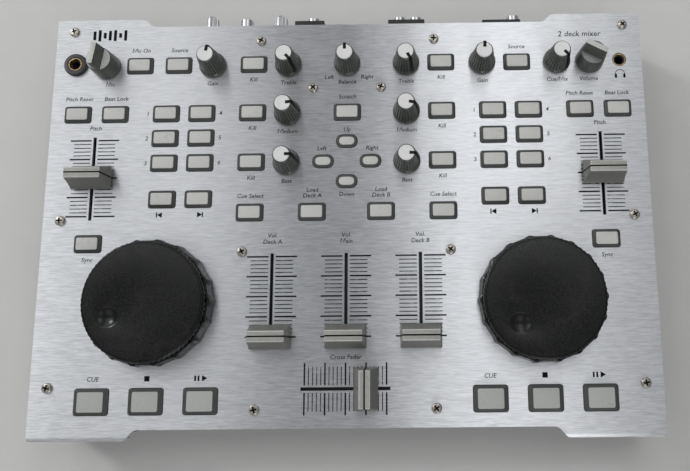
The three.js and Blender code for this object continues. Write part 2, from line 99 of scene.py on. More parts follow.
# Keys that share a mat: how many columns and rows of them.
KEY_GRIDS = {
    "keys_kill": (1, 3),
    "keys_pads": (2, 3),
    "keys_skip": (2, 1),
    "keys_pitch": (2, 1),
    "keys_input": (2, 1),
}
KEY_FLANGE = 1.2
LARGE_KEY = 20.0
MAT_TOP = -2.6
MAT_BOTTOM = -4.0
MAT_CORNER = 1.2
# Where the floor of a grip knob's scoops lies.
SCOOP_FLOOR = 11.95
PLATE_SCREW_HEIGHT = 1.7
CASE_SCREW_HEIGHT = 1.4
# Faces that meet at less than this are merged; a face whose normal rises more than LEVEL is flat.
FLAT_ENOUGH = math.radians(1)
LEVEL = 0.98

# Printed marks: how far they start above the metal, the ticks of a fader's scale, how far they
# stay off the slot, how much shorter the short ones are, and the signs over the large keys.
PRINT_LIFT = 0.005
TICKS = 21
TICKS_PER_LONG = 5
TICK_GAP = 2.4
SHORT_TICK_LESS = 2.5
ICON_RISE = 14.4
ICON_SIZE = 3.4

# Screws of the control plate; each also stands mirrored on the other side.
PLATE_SCREWS = (
    (190.5, 134.7),
    (190.8, 0.0),
    (191.0, -109.6),
    (59.8, 126.2),
    (23.2, 91.3),
    (68.8, -22.2),
    (58.0, -124.3),
)


# ---------------------------------------------------------------- where things are


def box_of(node):
    """Lowest and highest corner of a CAD node, in millimetres from the plate's middle."""
    low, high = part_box(node)
    return FROM_ROW @ low, FROM_ROW @ high


def middle_of(node):
    low, high = box_of(node)
    return (low + high) / 2


def pivot_of(node):
    return FROM_ROW @ Vector(JOINTS[node]["pos_m"])


def body_of(node):
    return frame["nodes"][node]["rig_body"]


def pointer_turn(node):
    """How far a knob's pointer stands clockwise from straight ahead, in radians."""
    low, high = JOINTS[node]["range_deg"]
    return math.radians((low + high) / 2)


def spread(low, high, count):
    """So many places, evenly from low to high."""
    if count == 1:
        return [(low + high) / 2]
    return [low + (high - low) * k / (count - 1) for k in range(count)]


# ---------------------------------------------------------------- mesh helpers


def at(x=0.0, y=0.0, z=0.0):
    return Matrix.Translation((x, y, z))


def stretched(width, depth, height=1.0):
    return Matrix.Diagonal((width, depth, height, 1.0))


def bevel(bm, geom, offset, segments=2, affect="EDGES"):
    bmesh.ops.bevel(
        bm, geom=geom, offset=offset, offset_type="OFFSET", affect=affect, segments=segments,
        profile=0.5, material=-1, clamp_overlap=affect == "EDGES",
    )


def block(bm, x, y, width, depth, low, high, soft=0.0):
    """A block with all its edges softened."""
    place = at(x, y, (low + high) / 2) @ stretched(width, depth, high - low)
    made = bmesh.ops.create_cube(bm, size=1, matrix=place)
    if soft:
        bevel(bm, list({edge for vert in made["verts"] for edge in vert.link_edges}), soft)


def sliced(bm, point, normal, away=True, geom=None):
    """Cuts along a plane, takes away what lies beyond it if asked, and gives the cut's edges."""
    cut = bmesh.ops.bisect_plane(
        bm, geom=geom or bm.verts[:] + bm.edges[:] + bm.faces[:], plane_co=point,
        plane_no=normal, clear_outer=away, dist=1e-5,
    )
    return [item for item in cut["geom_cut"] if isinstance(item, bmesh.types.BMEdge)]


def pull(bm, faces):
    """Extrudes faces without leaving the old ones inside; gives the new faces and their points."""
    pulled = bmesh.ops.extrude_face_region(bm, geom=faces)["geom"]
    bmesh.ops.delete(bm, geom=[face for face in faces if face.is_valid], context="FACES")
    tops = [item for item in pulled if isinstance(item, bmesh.types.BMFace)]
    return tops, list({vert for face in tops for vert in face.verts})


def tower(bm, x, y, rings, corner, chords=3):
    """A closed stack of round-cornered rectangles. A ring is (width, depth, z) or
    (width, depth, z, material), the material being that of the walls up to it."""
    before = set(bm.faces)
    width, depth, z = rings[0][:3]
    made = bmesh.ops.create_grid(
        bm, x_segments=1, y_segments=1, size=0.5, matrix=at(x, y, z) @ stretched(width, depth)
    )
    bevel(bm, made["verts"], corner, chords, affect="VERTICES")
    top = (set(bm.faces) - before).pop()
    foot = list(top.verts)
    for ring in rings[1:]:
        walls_before = set(bm.faces)
        (top,), _ = pull(bm, [top])
        factor = (ring[0] / width, ring[1] / depth, 1.0)
        bmesh.ops.scale(bm, vec=factor, space=at(-x, -y), verts=top.verts)
        bmesh.ops.translate(bm, vec=(0, 0, ring[2] - z), verts=top.verts)
        width, depth, z = ring[:3]
        if len(ring) == 4:
            for face in set(bm.faces) - walls_before:
                face.material_index = ring[3]
            top.material_index = ring[3]
    bm.faces.new(foot)
    bmesh.ops.recalc_face_normals(bm, faces=list(set(bm.faces) - before))
    return top


def lathe(bm, profile, steps=48, closed=False, place=None):
    """A profile of (radius, z) turned about the upright axis, then put in place."""
    verts = [bm.verts.new((radius, 0, z)) for radius, z in profile]
    pairs = list(zip(verts, verts[1:]))
    if closed:
        pairs.append((verts[-1], verts[0]))
    edges = [bm.edges.new(pair) for pair in pairs]
    before = set(bm.faces)
    bmesh.ops.spin(
        bm, geom=verts + edges, cent=(0, 0, 0), axis=(0, 0, 1), angle=math.tau, steps=steps,
        use_merge=True,
    )
    points = list({vert for face in set(bm.faces) - before for vert in face.verts})
    bmesh.ops.remove_doubles(bm, verts=points, dist=1e-4)
    faces = list(set(bm.faces) - before)
    bmesh.ops.recalc_face_normals(bm, faces=faces)
    points = list({vert for face in faces for vert in face.verts})
    if place is not None:
        bmesh.ops.transform(bm, matrix=place, verts=points)
    return points


def flute(bm, points, steps, period, picked, factor, wanted):
    """Draws in or lets out the points whose turn about the upright axis falls on picked places of
    each period, where wanted(point) holds."""
    moved = []
    for vert in points:
        if vert.is_valid and wanted(vert.co):
            place = round(math.atan2(vert.co.y, vert.co.x) / math.tau * steps) % period
            if place in picked:
                moved.append(vert)
    bmesh.ops.scale(bm, vec=(factor, factor, 1.0), verts=moved)


def copied(node):
    """A CAD node's mesh with its loose triangles merged into plain faces."""
    bm = bmesh.new()
    bm.from_mesh(frame["nodes"][node].data)
    bmesh.ops.transform(bm, matrix=FROM_ROW, verts=bm.verts)
    bmesh.ops.remove_doubles(bm, verts=bm.verts, dist=0.002)
    bmesh.ops.dissolve_limit(bm, angle_limit=FLAT_ENOUGH, verts=bm.verts, edges=bm.edges)
    return bm


def sharp_edges(bm, wanted, angle=50):
    limit = math.radians(angle)
    return [
        edge
        for edge in bm.edges
        if len(edge.link_faces) == 2
        and edge.calc_face_angle(0) > limit
        and all(wanted(vert.co) for vert in edge.verts)
    ]


def finish_piece(bm, name, body, finishes, slot, stands_for=(), smooth=30, place=None):
    """Puts a finished mesh into the model's frame as a piece that rides on a body. A finish is a
    name from the table or a material."""
    if place is not None:
        bmesh.ops.transform(bm, matrix=place, verts=bm.verts)
    bmesh.ops.transform(bm, matrix=TO_ROW, verts=bm.verts)
    mesh = bpy.data.meshes.new(name)
    bm.to_mesh(mesh)
    bm.free()
    for look in finishes:
        mesh.materials.append(finish(look) if isinstance(look, str) else look)
    if smooth:
        mesh.shade_smooth()
        mesh.set_sharp_from_angle(angle=math.radians(smooth))
    piece = bpy.data.objects.new(name, mesh)
    bpy.context.scene.collection.objects.link(piece)
    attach(piece, body)
    if stands_for:
        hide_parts(*stands_for)
    return piece


def build(name, body, finishes, slot, shape, *values, **more):
    """Draws one shape and finishes it as a piece."""
    bm = bmesh.new()
    shape(bm, *values)
    return finish_piece(bm, name, body, finishes, slot, **more)


def dress(node, material):
    """Gives a CAD node that stays in view its finish."""
    materials = frame["nodes"][node].data.materials
    materials.clear()
    materials.append(material)


# ---------------------------------------------------------------- shader groups


def feed(tree, socket, value):
    """Links a socket to another, or sets it to a plain value."""
    if isinstance(value, bpy.types.NodeSocket):
        tree.links.new(value, socket)
    else:
        socket.default_value = value


def math_node(tree, operation, first, second, clamp=False):
    node = tree.nodes.new("ShaderNodeMath")
    node.operation = operation
    node.use_clamp = clamp
    feed(tree, node.inputs[0], first)
    feed(tree, node.inputs[1], second)
    return node.outputs[0]


def mixed(tree, factor, first, second):
    node = tree.nodes.new("ShaderNodeMix")
    node.data_type = "RGBA"
    for label, value in (("Factor", factor), ("A", first), ("B", second)):
        feed(tree, node.inputs[label], value)
    return node.outputs["Result"]


def noise(tree, place, **values):
    node = tree.nodes.new("ShaderNodeTexNoise")
    feed(tree, node.inputs["Vector"], place)
    for label, value in values.items():
        feed(tree, node.inputs[label], value)
    return node.outputs[0]


def object_coordinates(tree):
    return tree.nodes.new("ShaderNodeTexCoord").outputs["Object"]


def shared_group(name, inputs, outputs, wire):
    """A node group, made once: wire(tree, given) says what each of its outputs shows."""
    if name in bpy.data.node_groups:
        return bpy.data.node_groups[name]
    tree = bpy.data.node_groups.new(name, "ShaderNodeTree")
    for label, value in inputs.items():
        kind = "Float"
        if isinstance(value, tuple):
            kind = "Color" if len(value) == 4 else "Vector"
        socket = tree.interface.new_socket(
            name=label, in_out="INPUT", socket_type=f"NodeSocket{kind}"
        )
        socket.default_value = value
    for label in outputs:
        kind = "Color" if label == "Color" else "Float"
        tree.interface.new_socket(name=label, in_out="OUTPUT", socket_type=f"NodeSocket{kind}")
    given = tree.nodes.new("NodeGroupInput").outputs
    leave = tree.nodes.new("NodeGroupOutput")
    for label, result in zip(outputs, wire(tree, given)):
        tree.links.new(result, leave.inputs[label])
    return tree


def wire_grain(tree, given):
    scaled = tree.nodes.new("ShaderNodeVectorMath")
    scaled.operation = "MULTIPLY"
    feed(tree, scaled.inputs[0], object_coordinates(tree))
    feed(tree, scaled.inputs[1], given["Stretch"])
    height = noise(tree, scaled.outputs[0], Scale=1, Detail=3)
    swing = math_node(tree, "MULTIPLY", math_node(tree, "SUBTRACT", height, 0.5), 4)
    gain = math_node(tree, "MULTIPLY", swing, given["Spread"])
    tint = tree.nodes.new("ShaderNodeHueSaturation")
    feed(tree, tint.inputs["Value"], math_node(tree, "ADD", gain, 1))
    feed(tree, tint.inputs["Color"], given["Color"])
    rough = math_node(tree, "MULTIPLY", swing, given["Roughness Spread"])
    rough = math_node(tree, "ADD", rough, given["Roughness"], clamp=True)
    return tint.outputs[0], rough, height


def grain_group():
    """Lightness and roughness that vary with a stretched noise: brush streaks, moulded grain."""
    inputs = {
        "Color": (0.5, 0.5, 0.5, 1), "Stretch": (500, 500, 500), "Spread": 0.1,
        "Roughness": 0.5, "Roughness Spread": 0.1,
    }
    return shared_group("Stretched grain", inputs, ("Color", "Roughness", "Height"), wire_grain)


def wire_wear(tree, given):
    place = object_coordinates(tree)
    patches = noise(tree, place, Scale=given["Scale"], Detail=7, Roughness=0.7)
    above = math_node(tree, "ADD", patches, given["Amount"])
    mask = math_node(tree, "MULTIPLY", math_node(tree, "SUBTRACT", above, 0.85), 6, clamp=True)
    mask = math_node(tree, "MULTIPLY", mask, given["Strength"])
    return (mixed(tree, mask, given["Color"], given["Worn Color"]),)


def wear_group():
    """Patches of a worn colour: dust, rubbed print, handled metal."""
    inputs = {
        "Color": (0.5, 0.5, 0.5, 1), "Worn Color": (0.5, 0.5, 0.5, 1), "Scale": 200,
        "Amount": 0.3, "Strength": 0.5,
    }
    return shared_group("Patchy wear", inputs, ("Color",), wire_wear)


def wire_scuffs(tree, given):
    place = object_coordinates(tree)
    lines = noise(tree, place, Scale=given["Scale"], Detail=2, Distortion=1.5)
    gap = math_node(tree, "ABSOLUTE", math_node(tree, "SUBTRACT", lines, 0.5), 0)
    line = math_node(tree, "SUBTRACT", 1, math_node(tree, "MULTIPLY", gap, 160), clamp=True)
    patch = math_node(tree, "SUBTRACT", noise(tree, place, Scale=55), 0.5)
    patch = math_node(tree, "MULTIPLY", patch, 6, clamp=True)
    mask = math_node(tree, "MULTIPLY", math_node(tree, "MULTIPLY", line, patch), given["Strength"])
    return (mixed(tree, mask, given["Color"], given["Scuff Color"]),)


def scuff_group():
    """Thin curling scratches, as fingers and rings leave on black plastic."""
    inputs = {
        "Color": (0.02, 0.02, 0.02, 1), "Scuff Color": (0.2, 0.2, 0.2, 1), "Scale": 40,
        "Strength": 0.4,
    }
    return shared_group("Hairline scuffs", inputs, ("Color",), wire_scuffs)


# ---------------------------------------------------------------- finishes


def place_group(tree, group, **values):
    node = tree.nodes.new("ShaderNodeGroup")
    node.node_tree = group
    for label, value in values.items():
        feed(tree, node.inputs[label.replace("_", " ")], value)
    return node


def rgba(color):
    return (*color[:3], 1.0)


def new_material(name):
    material = bpy.data.materials.new(name)
    material.use_nodes = True
    return material, material.node_tree, material.node_tree.nodes["Principled BSDF"]


def grained(name, color, rough, spread=0.12, stretch=900, rough_spread=0.06, metal=0.0, bump=0.0,
            coat=0.0, specular=0.5, worn=None, scuffs=0.0, anisotropy=0.0):
    """A material whose colour, roughness and relief come from the shared groups. The stretch is
    one number or three; worn is a colour, then the scale, amount and strength of its patches."""
    if name in bpy.data.materials:
        return bpy.data.materials[name]
    material, tree, shader = new_material(name)
    if not isinstance(stretch, tuple):
        stretch = (stretch,) * 3
    grain = place_group(
        tree, grain_group(), Color=rgba(color), Stretch=stretch, Spread=spread, Roughness=rough,
        Roughness_Spread=rough_spread,
    )
    look = grain.outputs["Color"]
    if worn is not None:
        worn_color, scale, amount, strength = worn
        look = place_group(
            tree, wear_group(), Color=look, Worn_Color=rgba(worn_color), Scale=scale,
            Amount=amount, Strength=strength,
        ).outputs["Color"]
    if scuffs:
        look = place_group(
            tree, scuff_group(), Color=look, Scuff_Color=(0.25, 0.25, 0.25, 1), Strength=scuffs
        ).outputs["Color"]
    for label, value in (
        ("Base Color", look), ("Roughness", grain.outputs["Roughness"]), ("Metallic", metal),
        ("Coat Weight", coat), ("Specular IOR Level", specular), ("Anisotropic", anisotropy),
    ):
        feed(tree, shader.inputs[label], value)
    if anisotropy:
        tangent = tree.nodes.new("ShaderNodeCombineXYZ")
        tangent.inputs["Y"].default_value = 1
        tree.links.new(tangent.outputs[0], shader.inputs["Tangent"])
    if bump:
        relief = tree.nodes.new("ShaderNodeBump")
        relief.inputs["Distance"].default_value = bump * MM
        tree.links.new(grain.outputs["Height"], relief.inputs["Height"])
        tree.links.new(relief.outputs[0], shader.inputs["Normal"])
    return material


def finish(name):
    """A finish from the table, made once."""
    color, rough, more = FINISHES[name]
    if isinstance(color, str):
        color = getattr(bpy.context.scene.dj_colors, color)
    return grained(name, color, rough, **more)


def sizes():
    return bpy.context.scene.dj_sizes


# A finish's colour, or the name of the colour setting that it takes, its roughness and the rest.
FINISHES = {
    "Brushed aluminium": ("plate", 0.4, dict(
        spread=0.2, stretch=(130, 1400, 130), rough_spread=0.05, metal=0.85, bump=0.02,
        worn=((0.6, 0.59, 0.56), 60, 0.22, 0.35), anisotropy=0.95)),
    "Key top": ("key_top", 0.55, dict(
        spread=0.04, stretch=700, bump=0.02, worn=((0.33, 0.32, 0.29), 260, 0.28, 0.35))),
    "Large key top": ("large_key_top", 0.5, dict(
        spread=0.04, stretch=700, bump=0.02, worn=((0.2, 0.21, 0.2), 260, 0.28, 0.35))),
    "Key slope": ("key_slope", 0.6, dict(
        stretch=800, bump=0.04, worn=((0.3, 0.3, 0.28), 400, 0.2, 0.4))),
    "Mat rubber": ((0.03, 0.03, 0.03), 0.7, dict(spread=0.15, bump=0.05)),
    "Charcoal knob": ("knob", 0.3, dict(
        spread=0.14, stretch=1100, bump=0.04, worn=((0.2, 0.2, 0.18), 300, 0.3, 0.5))),
    "Silver cap": ("cap", 0.42, dict(
        spread=0.05, bump=0.02, worn=((0.3, 0.3, 0.29), 350, 0.2, 0.3))),
    # The phones knob's scoop floor: silver painted dark grey, as painted shade.
    "Scoop floor": ((0.2, 0.2, 0.2), 0.25, dict(spread=0.06, coat=0.3)),
    "Fader top": ("fader_top", 0.45, dict(
        spread=0.08, stretch=300, bump=0.02, worn=((0.25, 0.25, 0.24), 350, 0.2, 0.3))),
    "Fader slope": ("fader_slope", 0.42, dict(
        spread=0.08, bump=0.02, worn=((0.25, 0.25, 0.25), 320, 0.2, 0.3))),
    "Printed black": ("ink", 0.7, dict(
        spread=0.2, stretch=600, specular=0.1, worn=((0.2, 0.2, 0.2), 700, 0.2, 0.15))),
    "Printed black, worn": ((0.015, 0.015, 0.015), 0.7, dict(
        spread=0.2, stretch=600, specular=0.1, worn=((0.6, 0.6, 0.6), 230, 0.32, 0.95))),
    # Black of the pointers and the faders' lines; in the screws' cross recesses it is painted
    # shade.
    "Pointer black": ((0.006, 0.006, 0.006), 0.5, dict(spread=0.2, bump=0.01, specular=0.2)),
    "Jog black": ("jog", 0.27, dict(
        spread=0.3, stretch=1300, rough_spread=0.12, bump=0.016, specular=0.42,
        worn=((0.035, 0.031, 0.037), 50, 0.34, 0.3), scuffs=0.08)),
    "Jog rim gloss": ((0.006, 0.0062, 0.006), 0.2, dict(
        spread=0.2, rough_spread=0.04, bump=0.01, coat=0.1, specular=0.36,
        worn=((0.04, 0.04, 0.04), 300, 0.28, 0.5))),
    "Screw steel": ((0.5, 0.47, 0.42), 0.34, dict(
        spread=0.1, stretch=1500, metal=1.0, worn=((0.2, 0.14, 0.09), 900, 0.3, 0.6))),
    "Turned steel": ((0.6, 0.6, 0.61), 0.28, dict(
        spread=0.08, stretch=(200, 200, 3000), metal=1.0,
        worn=((0.3, 0.29, 0.27), 400, 0.2, 0.4))),
    "Brass ring": ((0.68, 0.5, 0.24), 0.3, dict(
        spread=0.1, stretch=1500, metal=1.0, worn=((0.3, 0.2, 0.08), 700, 0.25, 0.5))),
    "Socket black": ((0.016, 0.016, 0.016), 0.45, dict(spread=0.15, bump=0.03)),
    "Socket red": ((0.42, 0.02, 0.02), 0.4, dict(spread=0.06, bump=0.02)),
    "Socket white": ((0.7, 0.7, 0.68), 0.4, dict(spread=0.06, bump=0.02)),
    "Usb white": ((0.7, 0.7, 0.68), 0.4, dict(spread=0.06, bump=0.02)),
    "Powder coat": ((0.022, 0.022, 0.024), 0.5, dict(
        spread=0.2, stretch=1600, bump=0.12, worn=((0.08, 0.08, 0.08), 220, 0.22, 0.5))),
    "Foot rubber": ((0.014, 0.014, 0.014), 0.85, dict(
        spread=0.2, stretch=1300, bump=0.08, worn=((0.1, 0.095, 0.09), 300, 0.28, 0.5))),
    "Pale floor": ((0.72, 0.71, 0.69), 0.8, dict(spread=0.02, stretch=40)),
}


def board_material(name, top):
    """Green solder mask with lighter tracks; what stands above the board's top is black."""
    if name in bpy.data.materials:
        return bpy.data.materials[name]
    material, tree, shader = new_material(name)
    place = object_coordinates(tree)
    tracks = tree.nodes.new("ShaderNodeTexVoronoi")
    tracks.feature = "DISTANCE_TO_EDGE"
    tracks.inputs["Scale"].default_value = 140
    tree.links.new(place, tracks.inputs["Vector"])
    line = math_node(tree, "LESS_THAN", tracks.outputs[0], 0.05)
    mask = place_group(
        tree, grain_group(), Color=(0.012, 0.09, 0.03, 1), Stretch=(300, 300, 300), Spread=0.15,
        Roughness=0.35, Roughness_Spread=0.05,
    )
    green = mixed(tree, line, mask.outputs["Color"], (0.03, 0.2, 0.07, 1))
    height = tree.nodes.new("ShaderNodeSeparateXYZ")
    tree.links.new(place, height.inputs[0])
    above = math_node(tree, "GREATER_THAN", height.outputs["Z"], top)
    feed(tree, shader.inputs["Base Color"], mixed(tree, above, green, (0.014, 0.014, 0.015, 1)))
    feed(tree, shader.inputs["Roughness"], mask.outputs["Roughness"])
    return material


# ---------------------------------------------------------------- settings


def color_property(name, description, value):
    return bpy.props.FloatVectorProperty(
        name=name, description=description, subtype="COLOR", size=3, min=0, max=1, default=value
    )


def length_property(name, description, value):
    return bpy.props.FloatProperty(
        name=name, description=description, subtype="DISTANCE", unit="LENGTH", min=0,
        default=value * MM, precision=5,
    )


class DJ_PG_colors(bpy.types.PropertyGroup):
    """Colours of the controller's finishes"""

    plate: color_property("Plate", "Brushed control plate", (0.78, 0.79, 0.81))
    key_top: color_property("Key top", "Top of the small keys", (0.66, 0.655, 0.62))
    large_key_top: color_property("Large key top", "Top of the large keys", (0.5, 0.51, 0.48))
    key_slope: color_property("Key slope", "Sides of all keys", (0.065, 0.07, 0.066))
    knob: color_property("Knob", "Ribbed and grip knobs", (0.085, 0.09, 0.08))
    cap: color_property("Cap", "Silver caps of knobs and faders", (0.88, 0.87, 0.86))
    fader_top: color_property("Fader top", "Bands on top of the faders", (0.62, 0.62, 0.575))
    fader_slope: color_property("Fader slope", "Sides of the fader caps", (0.165, 0.165, 0.15))
    jog: color_property("Jog wheel", "Both jog wheels", (0.0025, 0.0028, 0.0026))
    ink: color_property("Print", "Marks and words on the plate", (0.006, 0.006, 0.007))


class DJ_PG_sizes(bpy.types.PropertyGroup):
    """Sizes of the details that the CAD model leaves plain"""

    plate_edge: length_property("Plate edge", "Softening of the plate's cut edges", 0.25)
    key_corner: length_property("Key corner", "Corner radius of the square keys", 1.5)
    tick_length: length_property("Tick length", "Reach of a long tick beside its slot", 14.1)
    tick_width: length_property("Tick width", "Width of a long tick", 1.0)
    short_tick_width: length_property("Short tick width", "Width of a short tick", 0.6)
    label_size: length_property("Label size", "Letter size of the plate's words", 4.1)
    screw_head: length_property("Screw head", "Diameter of a plate screw's head", 6.8)
    print_height: length_property("Print height", "Thickness of the printed marks", 0.03)
    left_dimple: bpy.props.FloatProperty(
        name="Left dimple", description="Where the left wheel's finger dimple stands",
        subtype="ANGLE", unit="ROTATION", default=math.radians(205),
    )
    right_dimple: bpy.props.FloatProperty(
        name="Right dimple", description="Where the right wheel's finger dimple stands",
        subtype="ANGLE", unit="ROTATION", default=math.radians(224.5),
    )
    knob_ribs: bpy.props.IntProperty(
        name="Knob ribs", description="Ribs round a conical knob", default=24, min=6, max=60
    )
    jog_teeth: bpy.props.IntProperty(
        name="Jog teeth", description="Fine teeth round a jog wheel", default=72, min=12, max=120
    )


# ---------------------------------------------------------------- plate


class DJ_OT_plate(bpy.types.Operator):
    """Builds the brushed control plate with softened cut edges"""

    bl_idname = "dj.plate"
    bl_label = "Control plate"

    def execute(self, context):
        bm = copied("top_plate")
        bevel(bm, sharp_edges(bm, lambda point: point.z > -0.01), sizes().plate_edge / MM)
        plate = finish_piece(
            bm, "control_plate", "console", ["Brushed aluminium"], "brushed_aluminium",
            stands_for=["top_plate"], smooth=25,
        )
        for face in plate.data.polygons:
            face.use_smooth = abs(face.normal.z) < LEVEL
        return {"FINISHED"}


def cross_outline(bm, arm, half, z):
    """A flat cross of two crossed bars, as one face."""
    corners = []
    for quarter in range(4):
        turn = Matrix.Rotation(quarter * math.pi / 2, 3, "Z")
        for x, y in ((arm, -half), (arm, half), (half, half)):
            corners.append(turn @ Vector((x, y, z)))
    verts = [bm.verts.new(corner) for corner in corners]
    return bm.faces.new(verts)


def screw_head(bm, radius, height):
    """A pan head with a cross recess, standing on z = 0; the recess is painted black as painted
    shade.
    """
    profile = [
        (0, -0.2), (radius * 0.9, -0.2), (radius, 0.1), (radius, height * 0.4),
        (radius * 0.9, height * 0.75), (radius * 0.8, height * 0.92), (radius * 0.7, height),
    ]
    lathe(bm, profile, steps=24)
    rim = [edge for edge in bm.edges if edge.is_boundary]
    cross = cross_outline(bm, radius * 0.6, radius * 0.16, height)
    bmesh.ops.bridge_loops(bm, edges=rim + list(cross.edges))
    (bottom,), _ = pull(bm, [cross])
    bmesh.ops.translate(bm, vec=(0, 0, -height * 0.75), verts=bottom.verts)
    bmesh.ops.scale(bm, vec=(0.85, 0.85, 1), verts=bottom.verts)
    # The recess's floor and walls take the black second finish: painted shade in the cross recess.
    bottom.material_index = 1
    for edge in bottom.edges:
        for face in edge.link_faces:
            face.material_index = 1
    bmesh.ops.recalc_face_normals(bm, faces=bm.faces)


def add_screw(name, radius, height, place):
    # The black second finish is painted shade in the screw's cross recess.
    build(
        name, "console", ["Screw steel", "Pointer black"], "spindle_steel", screw_head, radius,
        height, smooth=35, place=place,
    )


class DJ_OT_screws(bpy.types.Operator):
    """Builds the cross-head screws that hold the control plate"""

    bl_idname = "dj.screws"
    bl_label = "Plate screws"

    def execute(self, context):
        radius = sizes().screw_head / MM / 2
        for side, sign in SIDES:
            for number, (x, y) in enumerate(PLATE_SCREWS, 1):
                place = at(sign * x, y, 0.02) @ Matrix.Rotation(number * 1.3 + sign, 4, "Z")
                add_screw(f"plate_screw_{side}_{number}", radius, PLATE_SCREW_HEIGHT, place)
        return {"FINISHED"}


# ---------------------------------------------------------------- printed marks


def print_top():
    return sizes().print_height / MM


def bar(bm, x, y, width, depth):
    block(bm, x, y, width, depth, PRINT_LIFT, print_top())


def printed(bm, name, ink="Printed black"):
    finish_piece(bm, name, "console", [ink], "brushed_aluminium", smooth=0)


def slot_ticks(long_ticks, short_ticks, node):
    """The ticks on both sides of a fader's slot, long ones with short ones between."""
    joint = JOINTS[node]
    along_y = abs(joint["axis"][1]) > 0.5
    rest = middle_of(node)
    start, end = (value / MM for value in joint["range_m"])
    size = sizes()
    reach = size.tick_length / MM
    for k, travel in enumerate(spread(start, end, TICKS)):
        is_long = k % TICKS_PER_LONG == 0
        length = reach if is_long else reach - SHORT_TICK_LESS
        width = (size.tick_width if is_long else size.short_tick_width) / MM
        bm = long_ticks if is_long else short_ticks
        for sign in (-1, 1):
            off = sign * (TICK_GAP + length / 2)
            if along_y:
                bar(bm, rest.x + off, rest.y + travel, length, width)
            else:
                bar(bm, rest.x + travel, rest.y + off, width, length)


class DJ_OT_ticks(bpy.types.Operator):
    """Prints the scale beside every fader slot"""

    bl_idname = "dj.ticks"
    bl_label = "Fader scales"

    def execute(self, context):
        long_ticks = bmesh.new()
        short_ticks = bmesh.new()
        for node in FADERS:
            slot_ticks(long_ticks, short_ticks, node)
        printed(long_ticks, "fader_scale_long_ticks")
        printed(short_ticks, "fader_scale_short_ticks", "Printed black, worn")
        return {"FINISHED"}


# Words on the plate: text, the node they stand by, and how far from its middle, in millimetres.
def plate_words():
    words = [
        ("Mic On", "keys_input_left", -13.3, 11.2),
        ("Source", "keys_input_left", 13.3, 11.2),
        ("Source", "key_source_right", 0, 11.2),
        ("Balance", "knob_balance", 0, -13),
        ("Left", "knob_balance", -12.5, -9.5),
        ("Right", "knob_balance", 13.5, -9.5),
        ("Cue/Mix", "knob_cue_mix", 0, -13),
        ("Mic", "knob_mic_volume", 3, -13),
        ("Volume", "knob_phones_volume", -1, -13),
        ("Scratch", "key_scratch", 0, 11.2),
        ("Up", "key_nav_up", 0, 8.2),
        ("Left", "key_nav_left", -1, 9),
        ("Right", "key_nav_right", 1, 9),
        ("Down", "key_nav_down", 0, -9),
        ("Main", "fader_volume_main", 0, 62.6),
        ("Vol.", "fader_volume_main", 0, 66.8),
        ("Cross Fader", "crossfader", -13.2, 20),
    ]
    for side, sign in SIDES:
        deck = "Deck A" if side == "left" else "Deck B"
        words += [
            ("Gain", f"knob_gain_{side}", 0, -13),
            ("Treble", f"knob_treble_{side}", 0, -13),
            ("Medium", f"knob_mid_{side}", 0, -13),
            ("Bass", f"knob_bass_{side}", 0, -13),
            ("Kill", f"keys_kill_{side}", 0, 24.0),
            ("Kill", f"keys_kill_{side}", 0, -11.0),
            ("Kill", f"keys_kill_{side}", 0, -46.0),
            ("Pitch Reset", f"keys_pitch_{side}", -12.75, 11.2),
            ("Beat Lock", f"keys_pitch_{side}", 12.75, 11.2),
            ("Pitch", f"fader_pitch_{side}", 0, 34.9),
            ("Load", f"key_load_{side}", 0, 15),
            (deck, f"key_load_{side}", 0, 11.1),
            ("Cue Select", f"key_cue_select_{side}", 0, 11.2),
            ("Sync", f"key_sync_{side}", 0, -10.8),
            ("Vol.", f"fader_volume_{side}", 0, 66.8),
            (deck, f"fader_volume_{side}", 0, 62.6),
            ("CUE", f"key_cue_{side}", 0, 14.2),
        ]
        for number in range(3):
            words.append((str(number + 1), f"keys_pads_{side}", -24.9, 17.5 * (1 - number)))
            words.append((str(number + 4), f"keys_pads_{side}", 24.9, 17.5 * (1 - number)))
    return words


# How much heavier than the plain font the letters are. Words with an M stay lighter and use an M
# with upright sides, so that its inner corners stay open.
LETTER_WEIGHT = 0.034
M_WEIGHT = 0.02
OPEN_M = "\u041c"


def add_word(bm, text, x, y, size):
    curve = bpy.data.curves.new("word", "FONT")
    curve.body = text.replace("M", OPEN_M)
    curve.size = size
    curve.align_x = "CENTER"
    curve.align_y = "CENTER"
    curve.resolution_u = 2
    curve.shear = 0.12
    curve.offset = M_WEIGHT if "M" in text else LETTER_WEIGHT
    curve.extrude = print_top() / 2
    letters = bpy.data.objects.new("word", curve)
    mesh = bpy.data.meshes.new_from_object(letters)
    mesh.transform(at(x, y, print_top() / 2 + PRINT_LIFT))
    before = set(bm.verts)
    bm.from_mesh(mesh)
    added = list(set(bm.verts) - before)
    bmesh.ops.remove_doubles(bm, verts=added, dist=1e-3)
    loose = [vert for vert in bm.verts if not vert.link_faces]
    bmesh.ops.delete(bm, geom=loose, context="VERTS")
    bpy.data.objects.remove(letters)
    bpy.data.curves.remove(curve)
    bpy.data.meshes.remove(mesh)


def triangle(bm, x, y, radius, turn):
    high = print_top()
    place = at(x, y, high / 2 + PRINT_LIFT) @ Matrix.Rotation(turn, 4, "Z")
    bmesh.ops.create_cone(
        bm, cap_ends=True, segments=3, radius1=radius, radius2=radius, depth=high, matrix=place
    )


def transport_icons(bm, side):
    """A square for stop, and two bars with an arrow for pause and play."""
    stop = middle_of(f"key_stop_{side}")
    play = middle_of(f"key_play_{side}")
    for x, y, width in (
        (stop.x, stop.y, ICON_SIZE), (play.x - 3.9, play.y, 1.2), (play.x - 1.7, play.y, 1.2)
    ):
        bar(bm, x, y + ICON_RISE, width, ICON_SIZE)
    triangle(bm, play.x + 1.6, play.y + ICON_RISE, 2.3, math.radians(-90))


